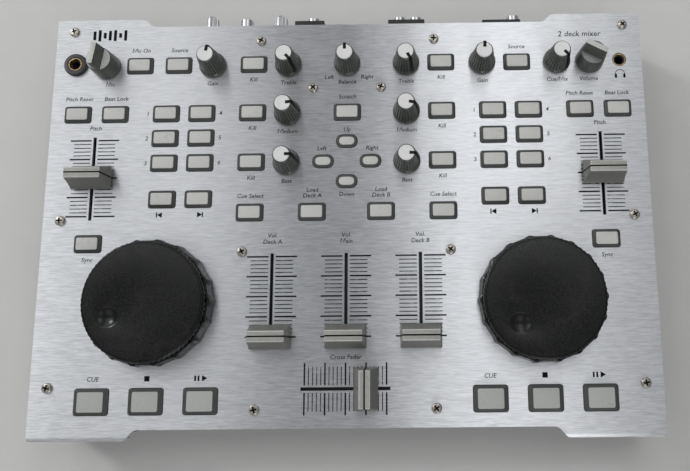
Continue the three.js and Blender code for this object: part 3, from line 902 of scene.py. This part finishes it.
def skip_icons(bm, side):
    """Arrows against a bar, one pointing back and one ahead, under the skip keys."""
    y = box_of(f"keys_skip_{side}")[0].y - 3.6
    columns = sorted({x for x, _ in key_places(f"keys_skip_{side}")[0]})
    for x, way in zip(columns, (-1, 1)):
        bar(bm, x + way * 3.2, y, 0.8, ICON_SIZE)
        triangle(bm, x + way * 0.7, y, 2.2, math.radians(-90 * way))


def headphone_icon(bm, x, y):
    """A bow over two ear pads."""
    high = print_top()
    profile = [(3.0, PRINT_LIFT), (3.4, PRINT_LIFT), (3.4, high), (3.0, high)]
    before = set(bm.verts)
    lathe(bm, profile, steps=24, closed=True, place=at(x, y, 0))
    added = list(set(bm.verts) - before)
    geom = added + list({edge for vert in added for edge in vert.link_edges})
    geom += list({face for vert in added for face in vert.link_faces})
    bmesh.ops.holes_fill(bm, edges=sliced(bm, (x, y, 0), (0, -1, 0), geom=geom), sides=0)
    for sign in (-1, 1):
        bar(bm, x + sign * 2.9, y - 1.4, 1.5, 2.8)


class DJ_OT_words(bpy.types.Operator):
    """Prints the plain words, numbers and signs beside the controls"""

    bl_idname = "dj.words"
    bl_label = "Words and signs"

    def execute(self, context):
        size = sizes().label_size / MM
        words = bmesh.new()
        for text, node, x, y in plate_words():
            middle = middle_of(node)
            add_word(words, text, middle.x + x, middle.y + y, size)
        printed(words, "plate_words")
        signs = bmesh.new()
        for side, _ in SIDES:
            transport_icons(signs, side)
            skip_icons(signs, side)
        phones = middle_of("phones_jack")
        headphone_icon(signs, phones.x, phones.y - 10.5)
        printed(signs, "plate_signs")
        corner = bmesh.new()
        low, high = box_of("top_plate")
        for number in range(7):
            tall = 3.0 + 5.5 * abs(math.sin(1.1 * number + 0.7))
            bar(corner, low.x + 26 + 3.6 * number, high.y - 11.5, 2.0, tall)
        add_word(corner, "2 deck mixer", high.x - 42, high.y - 15, size * 1.35)
        printed(corner, "corner_marks")
        return {"FINISHED"}


# ---------------------------------------------------------------- keys


def key_places(node):
    """The middles of a node's keys, and the width and depth of one of them."""
    group = "_".join(node.split("_")[:2])
    columns, rows = KEY_GRIDS.get(group, (1, 1))
    low, high = box_of(node)
    one_low, one_high = box_of("key_scratch" if columns * rows > 1 else node)
    width = one_high.x - one_low.x - 2 * KEY_FLANGE
    depth = one_high.y - one_low.y - 2 * KEY_FLANGE
    edge_x = KEY_FLANGE + width / 2
    edge_y = KEY_FLANGE + depth / 2
    xs = spread(low.x + edge_x, high.x - edge_x, columns)
    ys = spread(high.y - edge_y, low.y + edge_y, rows)
    return [(x, y) for y in ys for x in xs], width, depth


def key_rings(node, width, depth, crown):
    """A key's rings from its foot to its top: dark walls and slopes, then a light top."""
    dark, light = 0, 1
    if "nav" in node:
        top = (width - 4.2, depth - 3.8)
    elif width > LARGE_KEY:
        top = (width - 5.8, depth - 4.5)
    else:
        top = (width - 4.3, depth - 3.9)
    return [
        (width, depth, MAT_TOP - 0.3),
        (width, depth, 0.2, dark),
        (width - 0.3, depth - 0.3, 0.45, dark),
        (width - 0.9, depth - 0.9, 0.6, dark),
        (top[0] + 0.45, top[1] + 0.45, crown - 0.4, dark),
        (top[0] + 0.1, top[1] + 0.1, crown - 0.1, light),
        (top[0] - 0.4, top[1] - 0.4, crown, light),
    ]


class DJ_OT_keys(bpy.types.Operator):
    """Builds every key cap and the moulded mat that it grows from"""

    bl_idname = "dj.keys"
    bl_label = "Keys"

    def execute(self, context):
        for node in KEY_NODES:
            places, width, depth = key_places(node)
            crown = box_of(node)[1].z
            light = "Large key top" if width > LARGE_KEY else "Key top"
            corner = 3.8 if "nav" in node else sizes().key_corner / MM
            for number, (x, y) in enumerate(places, 1):
                name = f"{node}_cap" if len(places) == 1 else f"{node}_cap_{number}"
                rings = key_rings(node, width, depth, crown)
                build(
                    name, body_of(node), ["Key slope", light], "key_grey", tower, x, y, rings,
                    corner, 4,
                )
            low, high = box_of(node)
            middle = middle_of(node)
            size = high - low
            rings = [
                (size.x - 0.4, size.y - 0.4, MAT_BOTTOM),
                (size.x, size.y, MAT_BOTTOM + 0.2),
                (size.x, size.y, MAT_TOP - 0.2),
                (size.x - 0.4, size.y - 0.4, MAT_TOP),
            ]
            build(
                f"{node}_mat", body_of(node), ["Mat rubber"], "key_grey", tower, middle.x,
                middle.y, rings, MAT_CORNER, stands_for=[node],
            )
        return {"FINISHED"}


# ---------------------------------------------------------------- knobs


def knob_place(node):
    pivot = pivot_of(node)
    return at(pivot.x, pivot.y, 0) @ Matrix.Rotation(-pointer_turn(node), 4, "Z")


def ribbed_cone(bm):
    ribs = sizes().knob_ribs
    steps = ribs * 3
    profile = [
        (0, -4), (3, -4), (3, 0.8), (8.9, 0.8), (9.2, 1.1), (9.2, 2.1), (8.95, 2.6),
        (8.6, 3.2), (7.9, 6.2), (7.1, 10.2), (6.45, 14), (6.1, 16.1), (5.95, 16.6),
        (5.6, 17), (5.3, 17), (5.3, 16.8), (0, 16.8),
    ]
    points = lathe(bm, profile, steps=steps)
    flute(bm, points, steps, 3, (1,), 0.9, lambda point: 3.0 < point.z < 16.3)


def knob_cap(bm):
    profile = [
        (0, 16.75), (5.15, 16.75), (5.2, 17.2), (5.05, 17.5), (4.8, 17.6), (4.3, 17.52),
        (0, 17.42),
    ]
    lathe(bm, profile, steps=48)


def pointer(bm):
    """A black line over the cap's edge and down the cone's side."""
    block(bm, 0, 3.9, 2.0, 3.9, 17.0, 17.8, soft=0.15)
    lean = math.atan2(2.75, 14.0)
    before = set(bm.verts)
    block(bm, 0, 0, 2.0, 0.8, -7.0, 7.0, soft=0.15)
    added = list(set(bm.verts) - before)
    place = at(0, 7.4, 10.2) @ Matrix.Rotation(lean, 4, "X")
    bmesh.ops.transform(bm, matrix=place, verts=added)


class DJ_OT_cone_knobs(bpy.types.Operator):
    """Builds the ribbed conical knobs with their silver caps and pointers"""

    bl_idname = "dj.cone_knobs"
    bl_label = "Conical knobs"

    def execute(self, context):
        for node in CONE_KNOBS:
            place = knob_place(node)
            body = body_of(node)
            build(
                f"{node}_grip", body, ["Charcoal knob"], "knob_charcoal", ribbed_cone,
                stands_for=[node], smooth=40, place=place,
            )
            build(f"{node}_cap", body, ["Silver cap"], "knob_charcoal", knob_cap, place=place)
            build(
                f"{node}_pointer", body, ["Pointer black"], "knob_charcoal", pointer, place=place
            )
        return {"FINISHED"}


def grip_base(bm):
    profile = [
        (0, -4), (3, -4), (3, 0.8), (9.2, 0.8), (9.5, 1.1), (9.45, 2), (8.5, 11.4),
        (8.25, 11.9), (8.0, 12),
    ]
    lathe(bm, profile + [(0, 12)], steps=64)
    for face in bm.faces:
        if all(vert.co.z > SCOOP_FLOOR for vert in face.verts):
            face.material_index = 1


def grip_bar(bm):
    """What is left of the cone's crown between two scooped sides."""
    lathe(bm, [(0, SCOOP_FLOOR), (8.1, SCOOP_FLOOR), (7.5, 20.5), (0, 20.5)], steps=64)
    for sign in (-1, 1):
        edges = sliced(bm, (sign * 2.9, 0, SCOOP_FLOOR), (sign * 8.5, 0, 1.2))
        bmesh.ops.holes_fill(bm, edges=edges, sides=0)
    bmesh.ops.dissolve_limit(bm, angle_limit=FLAT_ENOUGH, verts=bm.verts, edges=bm.edges)
    bmesh.ops.recalc_face_normals(bm, faces=bm.faces)
    bevel(bm, sharp_edges(bm, lambda point: point.z > 12.5), 0.3)
    for face in bm.faces:
        if face.normal.z > 0.6:
            face.material_index = 1


class DJ_OT_grip_knobs(bpy.types.Operator):
    """Builds the two volume knobs with a grip bar across them"""

    bl_idname = "dj.grip_knobs"
    bl_label = "Grip knobs"

    def execute(self, context):
        for node in GRIP_KNOBS:
            place = knob_place(node)
            body = body_of(node)
            # The mic knob's scoops take the silver of the bar's top; the phones knob's scoops are
            # the same silver painted dark grey: painted shade.
            floor = "Fader top" if "mic" in node else "Scoop floor"
            build(
                f"{node}_base", body, ["Charcoal knob", floor], "knob_charcoal", grip_base,
                stands_for=[node], place=place,
            )
            build(
                f"{node}_bar", body, ["Charcoal knob", "Fader top"], "knob_charcoal", grip_bar,
                place=place,
            )
            build(
                f"{node}_pointer", body, ["Pointer black"], "knob_charcoal", block, 0, 5.6, 1.5,
                3.4, 20.1, 20.49, 0.1, place=place,
            )
        return {"FINISHED"}


# ---------------------------------------------------------------- faders


def fader_cap(bm):
    """A cap long in x and narrow in y: scooped slopes, and a grooved silver top with a line."""
    dark, light, line = 0, 1, 2
    rings = [
        (26.4, 15.2, 1.3),
        (26.8, 15.6, 1.6, dark),
        (26.8, 15.6, 2.7, dark),
        (26.3, 14.7, 3.1, dark),
        (25.1, 11.0, 7.4, dark),
        (24.2, 8.6, 11.2, dark),
        (23.6, 7.2, 13.6, dark),
        (23.4, 7.0, 14.0, light),
        (22.9, 6.5, 14.4, light),
        (22.5, 6.1, 14.5, light),
    ]
    tower(bm, 0, 0, rings, 0.7)
    grooves = [(0.0, 1.2, 0.45)]
    grooves += [(way * y, 0.3, 0.16) for y in (1.1, 1.8, 2.5) for way in (-1, 1)]
    for middle, width, _ in grooves:
        for sign in (-1, 1):
            sliced(bm, (0, middle + sign * width / 2, 0), (0, 1, 0), away=False)
    for face in bm.faces:
        place = face.calc_center_median()
        if abs(place.y) < 0.55 and place.z > 1.7:
            face.material_index = line
    for middle, width, depth in grooves:
        strip = []
        for face in bm.faces:
            place = face.calc_center_median()
            on_top = face.normal.z > 0.9 and place.z > 14.45
            if on_top and abs(place.y - middle) < width / 2:
                strip.append(face)
        floors, sunk = pull(bm, strip)
        bmesh.ops.translate(bm, vec=(0, 0, -depth), verts=sunk)
        if middle:
            for face in floors:
                face.material_index = dark


class DJ_OT_faders(bpy.types.Operator):
    """Builds the fader caps and the blades that carry them"""

    bl_idname = "dj.faders"
    bl_label = "Faders"

    def execute(self, context):
        for node in FADERS:
            middle = middle_of(node)
            quarter = 0 if abs(JOINTS[node]["axis"][1]) > 0.5 else math.pi / 2
            place = at(middle.x, middle.y, 0) @ Matrix.Rotation(quarter, 4, "Z")
            body = body_of(node)
            build(
                f"{node}_cap", body, ["Fader slope", "Fader top", "Pointer black"],
                "fader_silver", fader_cap, stands_for=[node], place=place,
            )
            build(
                f"{node}_blade", body, ["Turned steel"], "spindle_steel", block, 0, 0, 1.2, 4,
                -4, 1.6, 0.1, place=place,
            )
        return {"FINISHED"}


# ---------------------------------------------------------------- jog wheels


JOG_STEPS = 144
JOG_TOP = 14.4
DIMPLE_OFFSET = 23.0
DIMPLE_RADIUS = 6.6
DIMPLE_DEPTH = 2.0


def dimple_profile(top):
    """A shallow bowl from its floor out to its edge, and a softened lip."""
    ball = (DIMPLE_RADIUS**2 + DIMPLE_DEPTH**2) / (2 * DIMPLE_DEPTH)
    floor = top - DIMPLE_DEPTH
    radii = [DIMPLE_RADIUS * k / 7 for k in range(8)]
    bowl = [(r, floor + ball - math.sqrt(ball**2 - r**2)) for r in radii]
    bowl[-1] = (DIMPLE_RADIUS + 0.1, top - 0.06)
    return bowl + [(DIMPLE_RADIUS + 0.5, top)]


def jog_platter(bm, dimple_turn):
    """The wheel's top: toothed side, a fine groove at its edge and a finger dimple."""
    profile = [
        (0, 10.15), (38.2, 10.15), (38.4, 10.4), (38.4, 11.0), (39.0, 11.2), (39.3, 11.5),
        (39.3, 12.9), (39.0, 13.5), (38.5, 13.9), (38.2, 14.3), (37.9, 14.4), (37.7, 14.4),
        (37.55, 14.15), (37.3, 14.15), (37.1, 14.4),
    ]
    points = lathe(bm, profile, steps=JOG_STEPS)
    period = JOG_STEPS // sizes().jog_teeth
    flute(bm, points, JOG_STEPS, period, (0,), 0.985,
          lambda point: 11.1 < point.z < 13.8 and point.xy.length > 38.45)
    place = at(DIMPLE_OFFSET * math.cos(dimple_turn), DIMPLE_OFFSET * math.sin(dimple_turn), 0)
    lathe(bm, dimple_profile(JOG_TOP), steps=JOG_STEPS, place=place)
    rims = [edge for edge in bm.edges if edge.is_boundary]
    bmesh.ops.bridge_loops(bm, edges=rims)
    bmesh.ops.recalc_face_normals(bm, faces=bm.faces)


def jog_rim(bm):
    """The lower rim, with small lugs round it and a bore for the spindle."""
    profile = [
        (5.2, 1.5), (40.5, 1.5), (40.9, 1.9), (40.85, 2.4), (40.2, 9.2), (39.9, 9.8),
        (39.4, 10.1), (38.6, 10.1), (38.3, 9.8), (5.2, 9.8),
    ]
    points = lathe(bm, profile, steps=JOG_STEPS, closed=True)
    wall = 39.3
    for picked, factor in (((0, 1), 1.019), ((4, 5), 0.9935), ((3, 6), 0.9955)):
        flute(bm, points, JOG_STEPS, 8, picked, factor, lambda point: point.xy.length > wall)


class DJ_OT_jog_wheels(bpy.types.Operator):
    """Builds both jog wheels: a platter with a dimple on a lugged rim"""

    bl_idname = "dj.jog_wheels"
    bl_label = "Jog wheels"

    def execute(self, context):
        turns = {"left": sizes().left_dimple, "right": sizes().right_dimple}
        for side, _ in SIDES:
            node = f"jog_wheel_{side}"
            pivot = pivot_of(node)
            place = at(pivot.x, pivot.y, 0)
            build(
                f"{node}_platter", node, ["Jog black"], "jog_black", jog_platter, turns[side],
                stands_for=[node], smooth=35, place=place,
            )
            build(
                f"{node}_rim", node, ["Jog rim gloss"], "jog_black", jog_rim, smooth=20,
                place=place,
            )
            dress(f"jog_spindle_{side}", finish("Turned steel"))
        return {"FINISHED"}


# ---------------------------------------------------------------- sockets in the plate


# Brass rings of the sockets: node, inner and outer radius, and from where to where they stand.
SOCKET_RINGS = (
    ("mic_jack", 4.0, 4.55, 0.0, 2.1),
    ("phones_jack", 3.75, 4.35, -0.98, -0.2),
)
NUT_STEPS = 96


def socket_nut(bm):
    profile = [
        (4.65, 0.03), (7.6, 0.03), (7.9, 0.3), (7.9, 1.7), (7.6, 2.05), (6.9, 2.2), (5.2, 2.2),
        (4.65, 1.8),
    ]
    points = lathe(bm, profile, steps=NUT_STEPS, closed=True)
    flute(bm, points, NUT_STEPS, 2, (1,), 0.975, lambda point: point.xy.length > 7.5)


class DJ_OT_sockets(bpy.types.Operator):
    """Builds the microphone and headphone sockets"""

    bl_idname = "dj.sockets"
    bl_label = "Plug sockets"

    def execute(self, context):
        bm = copied("mic_jack")
        bmesh.ops.bridge_loops(bm, edges=sliced(bm, (0, 0, -0.02), (0, 0, 1)))
        bmesh.ops.recalc_face_normals(bm, faces=bm.faces)
        finish_piece(
            bm, "mic_jack_body", "console", ["Socket black"], "socket_black",
            stands_for=["mic_jack"],
        )
        mic = middle_of("mic_jack")
        build(
            "mic_jack_nut", "console", ["Socket black"], "socket_black", socket_nut,
            place=at(mic.x, mic.y, 0),
        )
        for node, inner, outer, low, high in SOCKET_RINGS:
            profile = [
                (inner, low), (outer, low), (outer, high - 0.2), (outer - 0.2, high),
                (inner + 0.15, high), (inner, high - 0.25),
            ]
            middle = middle_of(node)
            build(
                f"{node}_ring", "console", ["Brass ring"], "connector_steel", lathe, profile, 48,
                True, place=at(middle.x, middle.y, 0),
            )
        dress("phones_jack", finish("Socket black"))
        return {"FINISHED"}


# ---------------------------------------------------------------- rear connectors and boards


# Rear connectors, measured across the plate: middle, width, how far back the housing reaches, and
# the middles of its sockets.
PHONO_HOUSINGS = (
    (-74.4, 12, 138, (-74.4,)),
    (-28.2, 21, 146.5, (-26,)),
    (40.8, 26, 146.5, (36, 47.6)),
    (108.5, 27, 145.5, (117.6,)),
)
PHONO_FRONT = 120
SOCKET_END = 150
SOCKET_SINK = 0.4
HOUSING_TOP = 33.4
# The two rows of sockets: name, finish of the core and height above the table.
SOCKET_ROWS = (("upper", "Socket red", 27), ("lower", "Socket white", 14.5))
GROUND_POSTS = (-100.4, -50.3)
GROUND_HEIGHT = 25
GROUND_FRONT = 131
GROUND_REACH = 23
BOARD_TOP = 9.6
BOARD_BACK = 130.0
BOARD_THICK = 1.6


def backward(x, y, height):
    """Turns a shape drawn along +Z to run along +Y from there, at a height above the table."""
    return at(x, y, TABLE + height) @ Matrix.Rotation(-math.pi / 2, 4, "X")


def phono_barrel(bm, length):
    profile = [
        (3.5, 0), (4.6, 0), (4.6, length - 0.5), (4.3, length - 0.1), (3.8, length),
        (3.5, length - 0.4),
    ]
    lathe(bm, profile, steps=32, closed=True)


def phono_core(bm, length):
    profile = [
        (0, 0), (3.5, 0), (3.5, length - 1.3), (3.2, length - 1), (1.9, length - 1),
        (1.7, length - 1.3), (1.7, 0.4), (0, 0.4),
    ]
    lathe(bm, profile, steps=32)


def ground_post(bm, reach):
    neck = [
        (0, 0), (2.2, 0), (2.2, 7.4), (5.4, 7.4), (5.6, 7.6), (5.6, 8.5), (5.4, 8.7), (2.2, 8.7),
        (2.2, 9.9), (0, 9.9),
    ]
    lathe(bm, neck, steps=32)
    head = [
        (0, 9.8), (4.0, 9.8), (4.5, 10.3), (4.6, 10.9), (4.6, reach - 1.8), (4.3, reach - 1.3),
        (3.6, reach - 1.1), (3.3, reach - 0.4), (2.9, reach), (0, reach),
    ]
    points = lathe(bm, head, steps=96)
    flute(bm, points, 96, 3, (1,), 0.93,
          lambda point: 10.8 < point.z < reach - 1.7 and point.xy.length > 4.4)


class DJ_OT_rear_connectors(bpy.types.Operator):
    """Builds the phono sockets, ground posts and data socket behind the rear wall"""

    bl_idname = "dj.rear_connectors"
    bl_label = "Rear connectors"

    def execute(self, context):
        for number, (x, width, reach, sockets) in enumerate(PHONO_HOUSINGS, 1):
            middle_y = (PHONO_FRONT + reach) / 2
            low = TABLE + BOARD_TOP + 0.02
            build(
                f"phono_housing_{number}", "console", ["Socket black"], "socket_black", block, x,
                middle_y, width, reach - PHONO_FRONT, low, TABLE + HOUSING_TOP, 0.6,
            )
            length = SOCKET_END - reach + SOCKET_SINK
            for column, socket_x in enumerate(sockets, 1):
                for row, core, height in SOCKET_ROWS:
                    place = backward(socket_x, reach - SOCKET_SINK, height)
                    name = f"phono_socket_{number}_{column}_{row}"
                    build(
                        f"{name}_barrel", "console", ["Turned steel"], "connector_steel",
                        phono_barrel, length, place=place,
                    )
                    build(
                        f"{name}_core", "console", [core], "socket_black", phono_core, length,
                        place=place,
                    )
        for number, x in enumerate(GROUND_POSTS, 1):
            build(
                f"ground_post_{number}", "console", ["Turned steel"], "connector_steel",
                ground_post, GROUND_REACH, place=backward(x, GROUND_FRONT, GROUND_HEIGHT),
            )
        front = box_of("usb_port")[0].y
        middle = middle_of("usb_port")
        build(
            "usb_tongue", "console", ["Usb white"], "socket_black", block, middle.x, front + 6.4,
            5.6, 8.6, middle.z - 1.5, middle.z + 1.5, 0.3,
        )
        dress("usb_port", finish("Turned steel"))
        return {"FINISHED"}


def board_parts(bm, first, front, low):
    """Chips and upright capacitors in a row."""
    can = [(0, 0), (2.4, 0), (2.4, 5), (2.2, 5.4), (0, 5.4)]
    for number in range(9):
        x = first + 28 * number
        block(bm, x, front + 8, 9 - number % 3, 8, low, low + 1.59, soft=0.2)
        lathe(bm, can, steps=16, place=at(x + 12, front + 7, low))


class DJ_OT_boards(bpy.types.Operator):
    """Builds the audio board with its parts and finishes the control board"""

    bl_idname = "dj.boards"
    bl_label = "Boards"

    def execute(self, context):
        low, high = box_of("audio_board")
        top = TABLE + BOARD_TOP
        build(
            "audio_board_card", "console", [board_material("Audio board", 1)], "circuit_board",
            block, (low.x + high.x) / 2, (low.y + BOARD_BACK) / 2, high.x - low.x,
            BOARD_BACK - low.y, top - BOARD_THICK, top, 0.15, stands_for=["audio_board"],
            smooth=0,
        )
        build(
            "audio_board_parts", "console", ["Socket black"], "socket_black", board_parts,
            low.x + 16, low.y, top + 0.01,
        )
        top_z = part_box("control_board")[0].z + 1.65 * MM
        dress("control_board", board_material("Control board", top_z))
        return {"FINISHED"}


# ---------------------------------------------------------------- case and feet


FOOT_PROFILE = (
    (0, 0.5), (5.2, 0.5), (5.6, 0), (7.4, 0), (7.9, 0.5), (8, 1.2), (7.7, 3), (0, 3)
)


class DJ_OT_case(bpy.types.Operator):
    """Builds the steel case, its floor screws and its rubber feet"""

    bl_idname = "dj.case"
    bl_label = "Case and feet"

    def execute(self, context):
        low, high = box_of("bottom_case")
        bm = copied("bottom_case")
        bevel(bm, sharp_edges(bm, lambda point: point.z < low.z + 0.01), 0.8, segments=3)
        finish_piece(
            bm, "case_shell", "console", ["Powder coat"], "black_steel",
            stands_for=["bottom_case"], smooth=35,
        )
        for side, sign in SIDES:
            for number, y in enumerate((low.y + 12, 0, high.y - 12), 1):
                place = at(sign * 120, y, low.z) @ Matrix.Rotation(math.pi, 4, "X")
                add_screw(f"case_screw_{side}_{number}", 3.0, CASE_SCREW_HEIGHT, place)
            for end in ("front", "rear"):
                node = f"foot_{end}_{side}"
                middle = middle_of(node)
                place = at(middle.x, middle.y, box_of(node)[0].z)
                build(
                    f"{node}_pad", "console", ["Foot rubber"], "foot_rubber", lathe,
                    FOOT_PROFILE, 48, False, place, stands_for=[node],
                )
        return {"FINISHED"}


# ---------------------------------------------------------------- stage


# The camera, in millimetres from the plate's middle, and its axes.
CAMERA_AT = (45.75, -93.08, 388.73)
CAMERA_RIGHT = (0.99991, -0.00983, -0.00893)
CAMERA_UP = (0.01103, 0.98936, 0.14509)
CAMERA_BACK = (0.00740, -0.14517, 0.98938)
FOCAL_LENGTH = 31.304
LENS_SHIFT = (-0.0963, 0.0508)
ROOM_COLOR = (0.95, 0.97, 1.0, 1)
ROOM_STRENGTH = 0.19

# Soft lamps side by side above the plate: left edge, right edge and strength per area, in metres.
LAMP_STRIPS = (
    (-1.45, -0.60, 0.86),
    (-0.60, -0.50, 1.22),
    (-0.50, -0.40, 0.80),
    (-0.40, -0.30, 0.27),
    (-0.30, -0.20, 0.08),
    (-0.04, 0.04, 0.44),
    (0.04, 0.12, 1.04),
    (0.12, 0.36, 1.46),
    (0.36, 0.43, 1.20),
    (0.43, 0.52, 0.84),
    (0.52, 0.72, 0.45),
    (0.72, 1.10, 0.27),
)
# The strips stand in two rows: front edge, rear edge and share of the strength.
LAMP_ROWS = (
    (0.10, 2.00, 1.08),
    (-0.90, -0.22, 0.6),
)
LAMP_HEIGHT = 1.0
# Single lamps: place, width, depth and power.
KEY_LAMP = ((-2.7, 1.6, 2.2), 0.6, 0.6, 30.0)
FRONT_LAMP = ((0.34, -1.7, 0.5), 0.7, 0.5, 6.0)


def add_lamp(name, place, width, depth, power):
    lamp = bpy.data.lights.new(name, "AREA")
    lamp.shape = "RECTANGLE"
    lamp.size = width
    lamp.size_y = depth
    lamp.energy = power
    lamp.color = (0.98, 0.99, 1.0)
    source = bpy.data.objects.new(name, lamp)
    source.location = DECK + Vector(place)
    bpy.context.scene.collection.objects.link(source)
    return source


def add_lamps():
    for row, (front, rear, share) in enumerate(LAMP_ROWS, 1):
        for number, (left, right, strength) in enumerate(LAMP_STRIPS, 1):
            width, depth = right - left, rear - front
            place = ((left + right) / 2, (front + rear) / 2, LAMP_HEIGHT)
            power = strength * share * math.pi * width * depth
            add_lamp(f"Lamp {row}-{number}", place, width, depth, power)
    for name, single in (("Key lamp", KEY_LAMP), ("Front lamp", FRONT_LAMP)):
        lamp = add_lamp(name, *single)
        lamp.rotation_euler = (-Vector(single[0])).to_track_quat("-Z", "Y").to_euler()


class DJ_OT_stage(bpy.types.Operator):
    """Sets out the pale floor, the soft studio light and the camera"""

    bl_idname = "dj.stage"
    bl_label = "Stage"

    def execute(self, context):
        mesh = bpy.data.meshes.new("floor")
        bm = bmesh.new()
        bmesh.ops.create_grid(bm, x_segments=8, y_segments=8, size=2.5)
        bm.to_mesh(mesh)
        bm.free()
        mesh.materials.append(finish("Pale floor"))
        floor = bpy.data.objects.new("floor", mesh)
        context.scene.collection.objects.link(floor)
        add_lamps()
        world = bpy.data.worlds.new("Soft room")
        world.use_nodes = True
        background = world.node_tree.nodes["Background"]
        background.inputs["Color"].default_value = ROOM_COLOR
        background.inputs["Strength"].default_value = ROOM_STRENGTH
        context.scene.world = world
        context.scene.view_settings.view_transform = "Standard"
        lens = bpy.data.cameras.new("Camera")
        lens.sensor_width = 36
        lens.lens = FOCAL_LENGTH
        lens.shift_x, lens.shift_y = LENS_SHIFT
        lens.clip_start = 0.01
        camera = bpy.data.objects.new("Camera", lens)
        axes = Matrix((CAMERA_RIGHT, CAMERA_UP, CAMERA_BACK)).transposed().to_4x4()
        camera.matrix_world = at(*(TO_ROW @ Vector(CAMERA_AT))) @ axes
        context.scene.collection.objects.link(camera)
        context.scene.camera = camera
        return {"FINISHED"}


# ---------------------------------------------------------------- panel and registration


OPERATORS = (
    DJ_OT_plate,
    DJ_OT_screws,
    DJ_OT_ticks,
    DJ_OT_words,
    DJ_OT_keys,
    DJ_OT_cone_knobs,
    DJ_OT_grip_knobs,
    DJ_OT_faders,
    DJ_OT_jog_wheels,
    DJ_OT_sockets,
    DJ_OT_rear_connectors,
    DJ_OT_boards,
    DJ_OT_case,
    DJ_OT_stage,
)


class DJ_PT_controller(bpy.types.Panel):
    """Lists the controller's pieces, its colours and its sizes"""

    bl_idname = "DJ_PT_controller"
    bl_label = "DJ Controller"
    bl_space_type = "VIEW_3D"
    bl_region_type = "UI"
    bl_category = "DJ Controller"

    def draw(self, context):
        for operator in OPERATORS:
            self.layout.operator(operator.bl_idname)
        for settings in (context.scene.dj_colors, context.scene.dj_sizes):
            column = self.layout.column()
            for name in type(settings).__annotations__:
                column.prop(settings, name)


CLASSES = (DJ_PG_colors, DJ_PG_sizes, *OPERATORS, DJ_PT_controller)


def register():
    for item in CLASSES:
        bpy.utils.register_class(item)
    bpy.types.Scene.dj_colors = bpy.props.PointerProperty(type=DJ_PG_colors)
    bpy.types.Scene.dj_sizes = bpy.props.PointerProperty(type=DJ_PG_sizes)


def unregister():
    del bpy.types.Scene.dj_sizes
    del bpy.types.Scene.dj_colors
    for item in reversed(CLASSES):
        bpy.utils.unregister_class(item)


def main():
    register()
    for operator in OPERATORS:
        getattr(bpy.ops.dj, operator.bl_idname.split(".")[1])()


if __name__ == "__main__":
    main()
